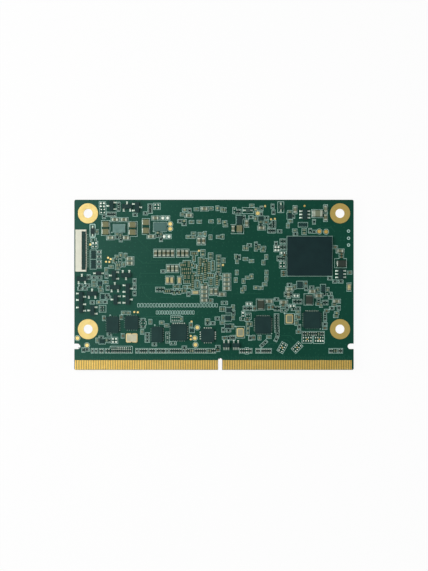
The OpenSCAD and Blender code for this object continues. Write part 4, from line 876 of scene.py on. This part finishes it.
# %% Ribs and soldered tails
RIB_HALF = np.array([0.09, 0.16, 0.29]) * MM
TAIL_HALF = np.array([0.13, 0.12, 0.02]) * MM
RIB_PAST, RIB_RISE, RIB_SOFT, LAST_RIB = 0.02 * MM, 0.2 * MM, 0.03 * MM, 0.25 * MM
TAIL_SHINE = 0.15
tails = BOXES["fpc_contacts"]
tail_y = np.sort(tails.centre[:, 1])
rib_y = np.append(tail_y[:-1] + np.diff(tail_y) / 2, tail_y[0] - LAST_RIB)
housing_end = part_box("fpc_housing")[1].x
tail_top = (tails.centre[:, 2] + tails.half[:, 2]).max()
ribs = alike(housing_end + RIB_PAST, rib_y, tail_top + RIB_RISE, RIB_HALF)
new_piece("connector_ribs", *rounded_blocks(ribs, RIB_SOFT), cream, "cream_plastic")
tail_end = tails.centre[:, 0] + reach(tails, np.array([1.0, 0.0]))[0]
tail_toes = alike(tail_end, tails.centre[:, 1], DECK + TAIL_HALF[2], TAIL_HALF)
new_domes("tail_domes", tail_toes, np.full(len(tail_end), TAIL_SHINE))

# %% [markdown]
# ## Outline printing
# The white lines round the parts are screen-printed ink, about an eighth of a millimetre wide. A
# printed line is a flat strip, so a low rectangle is carried along a path. At each corner of the
# path the strip's edge is pushed out along the bisector, so that the line keeps its width.

# %% Strips along paths
INK_WIDTH = 0.12 * MM
INK_SINK, INK_RISE = 0.005 * MM, 0.018 * MM
SHARPEST = 0.3


def strips(paths, width, low, high, closed):
    """Edge offset = half the width times the sum of both neighbouring normals / (1 + cosine of the turn)."""
    before = paths - np.roll(paths, 1, axis=1)
    after = np.roll(before, -1, axis=1)
    if not closed:
        before[:, 0] = after[:, 0]
        after[:, -1] = before[:, -1]
    before = before / np.linalg.norm(before, axis=-1, keepdims=True)
    after = after / np.linalg.norm(after, axis=-1, keepdims=True)
    bisector = across_of(before) + across_of(after)
    bisector = bisector / (1 + (before * after).sum(-1, keepdims=True)).clip(SHARPEST)
    left, right = paths + bisector * width / 2, paths - bisector * width / 2
    count, each = paths.shape[:2]
    rim = [(right, low), (right, high), (left, high), (left, low)]
    points = [np.concatenate([flat, np.full((count, each, 1), z)], axis=-1) for flat, z in rim]
    k, last = np.arange(len(rim)), (each - 1) * len(rim)
    seam = np.stack([k, np.roll(k, -1), last + np.roll(k, -1), last + k], axis=1)
    ends = np.stack([k, last + k[::-1]])
    quads = np.concatenate([tube_quads(each, len(rim))[:, ::-1], seam if closed else ends])
    return np.stack(points, axis=2), repeated(quads, each * len(rim), count)


def print_ink(name, paths, closed=True, width=INK_WIDTH, lift=0.0):
    """White lines on the upper face; a lift keeps crossing lines from sharing one plane."""
    high = DECK + INK_RISE + lift
    new_piece(name, *strips(paths, width, DECK - INK_SINK, high, closed), ink, "tin_solder")


def rounded_frames(boxes, radius, steps=3):
    """Closed path round each box: corner centre + radius (cosine, sine), each corner through a quarter turn."""
    corner = np.repeat(np.arange(4), steps)
    angle = (corner + np.tile(np.linspace(0, 1, steps), 4)) * np.pi / 2
    sign_x = np.array([1, -1, -1, 1])[corner]
    sign_y = np.array([1, 1, -1, -1])[corner]
    x = sign_x * (boxes.half[:, :1] - radius) + radius * np.cos(angle)
    y = sign_y * (boxes.half[:, 1:2] - radius) + radius * np.sin(angle)
    axis, across = boxes.axis[:, None], across_of(boxes.axis)[:, None]
    return boxes.centre[:, None, :2] + x[..., None] * axis + y[..., None] * across


def chips_of(ends, bodies):
    """Whole chip parts as boxes, from each body and the end caps that belong to it."""
    mine, way = outward(ends, bodies)
    out, side = reach(ends, way)
    far = np.zeros(len(bodies.centre))
    wide = np.zeros(len(bodies.centre))
    axis = np.zeros((len(bodies.centre), 2))
    np.maximum.at(far, mine, ((ends.centre[:, :2] - bodies.centre[mine, :2]) * way).sum(1) + out)
    np.maximum.at(wide, mine, side)
    axis[mine] = way
    return Boxes(bodies.centre, axis, np.column_stack([far, wide, bodies.half[:, 2]]))


def widened(boxes, along, aside):
    """Boxes with a margin, in millimetres, along their direction and across it."""
    return Boxes(boxes.centre, boxes.axis, boxes.half + np.array([along, aside, 0.0]) * MM)


# Left, right, near and far side of each frame, in millimetres
FRAMED = np.array([
    # Flash memory and the second power die
    [21.4, 34.75, 2.55, 14.3], [-17.8, -13.9, 15.6, 18.4],
    # Diodes
    [-36.4, -34.9, 14.0, 17.8], [18.7, 20.5, 21.2, 24.4], [8.3, 11.6, 20.9, 22.7],
    # Inductors and chokes
    [-33.05, -30.55, 14.5, 18.9], [-25.2, -22.5, 14.2, 18.6], [-21.1, -18.9, 14.8, 19.5], [5.0, 8.7, 15.0, 17.6],
    [26.4, 29.1, -5.95, -2.6], [35.4, 38.9, 5.0, 7.7], [12.4, 14.95, -7.4, -4.15],
    # Crystals, the row with third pads and empty places of arrays
    [20.8, 23.6, -11.5, -8.4], [6.5, 9.0, -15.6, -12.2], [-30.5, -23.9, -20.0, -18.1],
    [25.8, 28.7, -17.1, -15.1], [29.2, 32.3, -17.2, -15.1],
    # Mini chips
    [-36.4, -34.5, 7.52, 10.25], [-36.4, -34.5, 4.62, 7.52], [-33.7, -31.7, -8.0, -6.0],
]) * MM
left, right, near, far = FRAMED.T
framed = alike((left + right) / 2, (near + far) / 2, DECK, np.zeros(3))
framed = framed._replace(half=np.column_stack([right - left, far - near, np.zeros(len(FRAMED))]) / 2)
# Margins in millimetres along and across each kind of chip part, then round bare pads and mini chips
CHIP_MARGIN = [(0.3, 0.3), (0.2, 0.2), (0.42, 0.19), (0.4, 0.3), (0.2, 0.2)]
BARE_MARGIN, MINI_MARGIN = (0.26, 0.26), (0.3, 0.3)
chips = [widened(chips_of(BOXES[e], BOXES[b]), *m) for (e, b), m in zip(TERMINALS, CHIP_MARGIN)]
mini = BOXES["mini_chips"]
has_frame = (np.abs(mini.centre[:, None, :2] - framed.centre[:, :2]) < framed.half[:, :2]).all(-1).any(1)
lone_minis = widened(chosen(mini, ~has_frame), *MINI_MARGIN)
outlined = joined(*chips, framed, widened(BOXES["bare_pads"], *BARE_MARGIN), lone_minis)
print("outlined places:", len(outlined.centre))

# %% [markdown]
# ## One outline round each group
# Where parts stand close together, the printer's artwork merges their frames into one outline. So
# each frame's four sides are cut into short steps, a step inside any other frame is dropped, and the
# runs of steps that remain are printed.

# %% Merged outlines
SIDE_STEPS = 40
CORNERS = np.array([[-1, -1], [1, -1], [1, 1], [-1, 1]])
LATER_ROOM, EARLIER_ROOM = 0.05 * MM, -0.001 * MM


def merged_runs(boxes):
    """Start and end points (runs, 2) of the frame sides that lie outside all other frames, and their sides."""
    corner = CORNERS[None] * boxes.half[:, None, :2]
    axis, across = boxes.axis[:, None], across_of(boxes.axis)[:, None]
    start = boxes.centre[:, None, :2] + corner[..., :1] * axis + corner[..., 1:] * across
    stop = np.roll(start, -1, axis=1)
    t = (np.arange(SIDE_STEPS) + 0.5) / SIDE_STEPS
    steps = start[:, :, None] + (stop - start)[:, :, None] * t[:, None]
    free = np.empty(steps.shape[:3], bool)
    for number, mine in enumerate(steps):
        along, aside = offsets(mine, boxes)
        room = np.where(np.arange(len(boxes.half)) > number, LATER_ROOM, EARLIER_ROOM)
        inside = (np.abs(along) < boxes.half[:, 0] + room) & (np.abs(aside) < boxes.half[:, 1] + room)
        inside[:, :, number] = False
        free[number] = ~inside.any(-1)
    edge = np.diff(np.pad(free, ((0, 0), (0, 0), (1, 1))).astype(int), axis=-1)
    first, last = np.argwhere(edge == 1), np.argwhere(edge == -1)
    line, side = first[:, 0], first[:, 1]
    origin = start[line, side]
    way = stop[line, side] - origin
    return origin + way * first[:, 2:] / SIDE_STEPS, origin + way * last[:, 2:] / SIDE_STEPS, side


run_start, run_stop, run_side = merged_runs(outlined)
unit = (run_stop - run_start) / np.linalg.norm(run_stop - run_start, axis=1, keepdims=True)
run_paths = np.stack([run_start - unit * INK_WIDTH / 2, run_stop + unit * INK_WIDTH / 2], axis=1)
INK_LIFT = 0.002 * MM
for name, odd in (("outlines_along", 0), ("outlines_across", 1)):
    print_ink(name, run_paths[run_side % 2 == odd], False, lift=odd * INK_LIFT)
BOLD_FRAME, BOLD_WIDTH, BOLD_RADIUS = 2, 0.26 * MM, 0.2 * MM
bold_path = rounded_frames(chosen(framed, [BOLD_FRAME]), BOLD_RADIUS)
print_ink("diode_frame", bold_path, width=BOLD_WIDTH, lift=2 * INK_LIFT)

# %% [markdown]
# ## Rings, dots and empty boxes
# Rings mark the larger test pads, and a dot marks the first contact of a chip. Two rows of plain,
# empty boxes break up the open field below the middle of the board. A ring and a frame are both
# closed paths, so the strips above print them all.

# %% Rings, dots and rows of empty boxes
pads = BOXES["test_pads"]
LARGE_PAD = 0.4 * MM
large_pads = pads.centre[pads.half[:, 0] > LARGE_PAD]
LOOSE_RINGS = np.array([[39.5, 15.8], [39.5, 13.7], [39.5, 11.7]]) * MM
FIRST_DOTS = np.array([
    [6.2, -12.2], [20.65, -8.3], [31.2, -12.9], [16.9, -14.3], [-17.4, -11.8], [-30.5, -8.9], [-30.0, 15.4],
    [-17.8, 15.8],
]) * MM


def circles(centre, radius, around):
    """Closed paths: centre + radius (cosine, sine) at equal steps round the circle."""
    angle = np.arange(around) * 2 * np.pi / around
    return centre[:, None, :2] + radius * np.stack([np.cos(angle), np.sin(angle)], axis=-1)


# Places, radius and line width in millimetres, and points round each circle
RINGS = {
    "pad_rings": (large_pads, 0.78, 0.12, 20), "loose_rings": (LOOSE_RINGS, 0.36, 0.24, 20),
    "first_contact_dots": (FIRST_DOTS, 0.1, 0.19, 12),
}
for name, (places, radius, width, around) in RINGS.items():
    print_ink(name, circles(places, radius * MM, around), width=width * MM)


def box_row(left, right, near, far, count):
    """Boxes at equal steps from left to right, in millimetres, that fill the height and two thirds of a step."""
    step = (right - left) / count
    x = left + step * (np.arange(count) + 0.5)
    return alike(x * MM, (near + far) / 2 * MM, DECK, np.array([step / 3, (far - near) / 2, 0.0]) * MM)


ROW_RADIUS = 0.15 * MM
rows = joined(box_row(-22.6, 1.2, -6.5, -5.45, 26), box_row(-17.1, -5.7, -8.6, -7.6, 15))
print_ink("empty_boxes", rounded_frames(rows, ROW_RADIUS))

# %% [markdown]
# ## Copper under the mask
# Copper tracks are about as thick as a hair and lie under the lacquer, so they show only as slightly
# lighter, raised lines. From each finger a short track leads up to the row of coupling parts and
# bends aside by 45 degrees. Longer tracks cross the open field.

# %% Tracks
COPPER_HALF, TRACK_WIDTH = 0.01 * MM, 0.16 * MM
TRACK_START = 0.05 * MM
LEAST_CLIMB, MOST_CLIMB, MOST_ASIDE = 0.5, 1.1, 0.45


def lay_copper(name, paths, level, width=TRACK_WIDTH, closed=False):
    """Copper lines under the lacquer, half sunk into the face at a level."""
    shape = strips(paths, width, level - COPPER_HALF, level + COPPER_HALF, closed)
    new_piece(name, *shape, track_mask, "solder_mask")


def path_through(*stops):
    """Paths (lines, stops, 2) through stops that are pairs of x and y, each a list or one number for all."""
    return np.stack([np.column_stack(np.broadcast_arrays(x, y)) for x, y in stops], axis=1)


fingers = BOXES["edge_fingers_upper"]
finger_x = fingers.centre[:, 0]
finger_top = (fingers.centre[:, 1] + np.max(fingers.half[:, :2], axis=1)).max()
climb = random.uniform(LEAST_CLIMB, MOST_CLIMB, len(finger_x)) * MM
aside = random.uniform(-MOST_ASIDE, MOST_ASIDE, len(finger_x)) * MM
bend_y = finger_top + climb
track_end = (finger_x + aside, bend_y + np.abs(aside))
fan = path_through((finger_x, finger_top - TRACK_START), (finger_x, bend_y), track_end)
lay_copper("finger_tracks", fan, DECK)
LONG_TRACKS = np.array([
    [[-24.0, 9.4], [-21.0, 6.4], [-10.6, 6.4], [-10.0, 5.8]],
    [[-22.4, 13.4], [-18.4, 9.4], [-18.4, 7.2], [-14.4, 7.2]],
    [[-21.8, 2.0], [-21.8, 3.0], [-21.4, 3.4], [-16.2, 3.4]],
    [[-22.0, -3.2], [-22.0, -0.2], [-21.6, 0.2], [-14.8, 0.2]],
    [[-21.0, -0.4], [-20.6, -2.4], [-18.4, -4.6], [-16.8, -4.6]],
    [[-20.6, -9.3], [-19.8, -9.3], [-6.0, -9.3], [-4.2, -7.5]],
    [[-15.4, -3.6], [-13.0, -3.6], [-8.0, -3.6], [-6.0, -3.6]],
    [[-0.6, -9.2], [0.2, -9.2], [2.0, -9.2], [2.4, -8.8]],
    [[19.8, -14.9], [22.4, -14.9], [24.4, -16.9], [24.4, -17.4]],
    [[20.0, -16.2], [21.6, -16.2], [22.6, -17.2], [22.6, -18.0]],
    [[15.6, -18.2], [16.6, -17.2], [18.0, -17.2], [18.6, -17.2]],
    [[6.0, -2.6], [8.0, -2.6], [10.6, -2.6], [14.0, -2.6]],
    [[9.0, 11.6], [11.4, 9.2], [11.4, 5.2], [12.6, 4.0]],
    [[-8.0, 12.4], [-9.4, 13.8], [-9.4, 16.2], [-8.6, 17.0]],
    [[0.6, 20.4], [0.6, 17.4], [-0.4, 16.4], [-0.4, 15.4]],
    [[28.6, 19.2], [31.0, 16.8], [34.4, 16.8], [35.6, 15.6]],
]) * MM
lay_copper("long_tracks", LONG_TRACKS, DECK)

# %% [markdown]
# ## Plated holes under the mask
# Small plated holes carry signals from one face to the other. The lacquer covers them, and only a
# low ring with a dimple is left. They stand on a loose grid wherever no part is near.

# %% Vias of both faces
LOWER = (
    "edge_fingers_lower", "processor_base", "processor_cap", "processor_balls", "ram_chip_a", "ram_chip_b",
    "ram_balls",
)
BOTH = ("circuit_board", "mounting_hole_plating")
upper_boxes = joined(*(BOXES[name] for name in NODES if name not in LOWER + BOTH), BOXES["mounting_hole_plating"])
lower_boxes = joined(*(BOXES[name] for name in LOWER), BOXES["mounting_hole_plating"])
VIA_STEP, VIA_ROOM, VIA_SHAKE = 1.5, 0.45 * MM, 0.25
VIA_RADIUS, VIA_WIDTH, VIA_AROUND = 0.11 * MM, 0.12 * MM, 10
VIA_SPAN_X, VIA_SPAN_Y = (-39.5, 39.6), (-20.3, 23.8)


def free_spots(boxes):
    """Points of a shaken grid that lie outside all boxes by a margin."""
    x, y = np.meshgrid(np.arange(*VIA_SPAN_X, VIA_STEP) * MM, np.arange(*VIA_SPAN_Y, VIA_STEP) * MM)
    shake = random.uniform(-VIA_SHAKE, VIA_SHAKE, (x.size, 2)) * VIA_STEP * MM
    spots = np.column_stack([x.ravel(), y.ravel()]) + shake
    along, aside = offsets(spots, boxes)
    past = np.maximum(np.abs(along) - boxes.half[:, 0], np.abs(aside) - boxes.half[:, 1])
    return spots[(past > VIA_ROOM).all(axis=1)]


for name, boxes, level in (("upper_vias", upper_boxes, DECK), ("lower_vias", lower_boxes, UNDER)):
    lay_copper(name, circles(free_spots(boxes), VIA_RADIUS, VIA_AROUND), level, VIA_WIDTH, True)

# %% [markdown]
# ## The lower face
# The photograph does not show the lower face, so it is kept plain: a printed frame round each of the
# three packages, and a fan of tracks from the processor to the lower fingers. The outer tracks bend
# first, so that no two of them cross.

# %% Printing and tracks of the lower face
PACKAGE_MARGIN = 0.35
LOWER_TRACKS, FAN_SHARE, FAN_SPREAD = 37, 0.9, 0.8
FIRST_BEND, BEND_SHARE = 0.5 * MM, 0.6
START_GAP, END_GAP = 0.1 * MM, 0.2 * MM
packages = joined(*(BOXES[name] for name in ("processor_base", "ram_chip_a", "ram_chip_b")))
package_paths = rounded_frames(widened(packages, PACKAGE_MARGIN, PACKAGE_MARGIN), PACKAGE_MARGIN * MM)
package_ink = strips(package_paths, INK_WIDTH, UNDER - INK_RISE, UNDER + INK_SINK, True)
new_piece("package_outlines", *package_ink, ink, "tin_solder")
centre_x, centre_y = BOXES["processor_base"].centre[0, :2]
half_side = BOXES["processor_base"].half[0, 0]
offset = np.linspace(-FAN_SHARE, FAN_SHARE, LOWER_TRACKS) * half_side
start_y = centre_y - half_side - START_GAP
bend_y = start_y - FIRST_BEND - BEND_SHARE * (half_side - np.abs(offset))
spread = offset * FAN_SPREAD
start_x, end_x = centre_x + offset, centre_x + offset + spread
fan = path_through(
    (start_x, start_y), (start_x, bend_y), (end_x, bend_y - np.abs(spread)), (end_x, finger_top + END_GAP))
lay_copper("lower_tracks", fan, UNDER)

# %% [markdown]
# ## Floor
# The module lies on a white table. The camera, mirrors and glass see it as plain white. A small share
# of ordinary diffuse white stays in it, which keeps the part's soft shadow.

# %% White table
FLOOR_HALF, FLOOR_DROP = 3.0, 0.01 * MM
SHADOW_SHARE = 0.06
TABLE_TONE = (0.9, 0.9, 0.9, 1.0)
floor_mesh = bpy.data.meshes.new("table")
floor_corners = np.array([[-1, -1, 0], [1, -1, 0], [1, 1, 0], [-1, 1, 0]]) * FLOOR_HALF
floor_mesh.from_pydata(floor_corners + np.array([0, 0, cad_box[0][2] - FLOOR_DROP]), [], [[0, 1, 2, 3]])
floor = bpy.data.objects.new("table", floor_mesh)
bpy.context.scene.collection.objects.link(floor)
table_white, nodes, links, shader = new_material("table_white", 0.9, specular=0.0)
shader.inputs["Base Color"].default_value = TABLE_TONE
bright = new_node(nodes, "Emission")
seen = new_node(nodes, "LightPath")
seen_or_mirrored = new_node(nodes, "Math", operation="MAXIMUM")
seen_through = new_node(nodes, "Math", operation="MAXIMUM")
share = new_node(nodes, "Math", {1: 1 - SHADOW_SHARE}, operation="MULTIPLY")
blend = new_node(nodes, "MixShader")
join(
    links, (seen, "Is Camera Ray", seen_or_mirrored, 0), (seen, "Is Glossy Ray", seen_or_mirrored, 1),
    (seen_or_mirrored, "Value", seen_through, 0), (seen, "Is Transmission Ray", seen_through, 1),
    (seen_through, "Value", share, 0), (share, "Value", blend, "Fac"), (shader, "BSDF", blend, 1),
    (bright, "Emission", blend, 2), (blend, "Shader", nodes["Material Output"], "Surface"),
)
floor_mesh.materials.append(table_white)
print("table at", round(cad_box[0][2] / MM, 2), "mm")

# %% [markdown]
# ## Finishes of the solids that stay
# The remaining solids are already right. Each node's material slots take the finish of its kind.

# %% Finish of each remaining node
FINISH = {
    "solder_mask": mask, "gold_plating": pad_gold_painted_reflection, "tin_solder": tin, "epoxy_mould": epoxy, "memory_mould": memory,
    "laminate_base": base_laminate, "cream_plastic": cream, "black_plastic": black, "silicon_die": die,
    "ferrite": ferrite, "dark_ferrite": dark_ferrite, "ceramic_tan": ceramic, "ceramic_cream": cream_ceramic,
    "resistor_glaze": glaze, "metal_lid": lid,
}
OWN_FINISH = {
    "edge_fingers_upper": finger_gold, "edge_fingers_lower": finger_gold, "crystal_rings": seal_gold,
    "leadless_chip_contacts": dark_tin, "mini_chip_contacts": shaded_tin, "fpc_contacts": dull_tin,
    "six_lead_leads": bright_solder, "diode_bodies": diode_mould, "network_chip_a": network_mould,
    "network_chip_b": network_mould, "five_lead_leads": lead_tin, "mounting_hole_plating": ring_gold_painted_reflection,
}
slot_of = {entry["node"]: entry["material_slot"] for entry in frame["record"]["subparts"]}
for name, node in NODES.items():
    node.data.materials.clear()
    node.data.materials.append(OWN_FINISH.get(name, FINISH[slot_of[name]]))
print("nodes finished:", len(NODES))
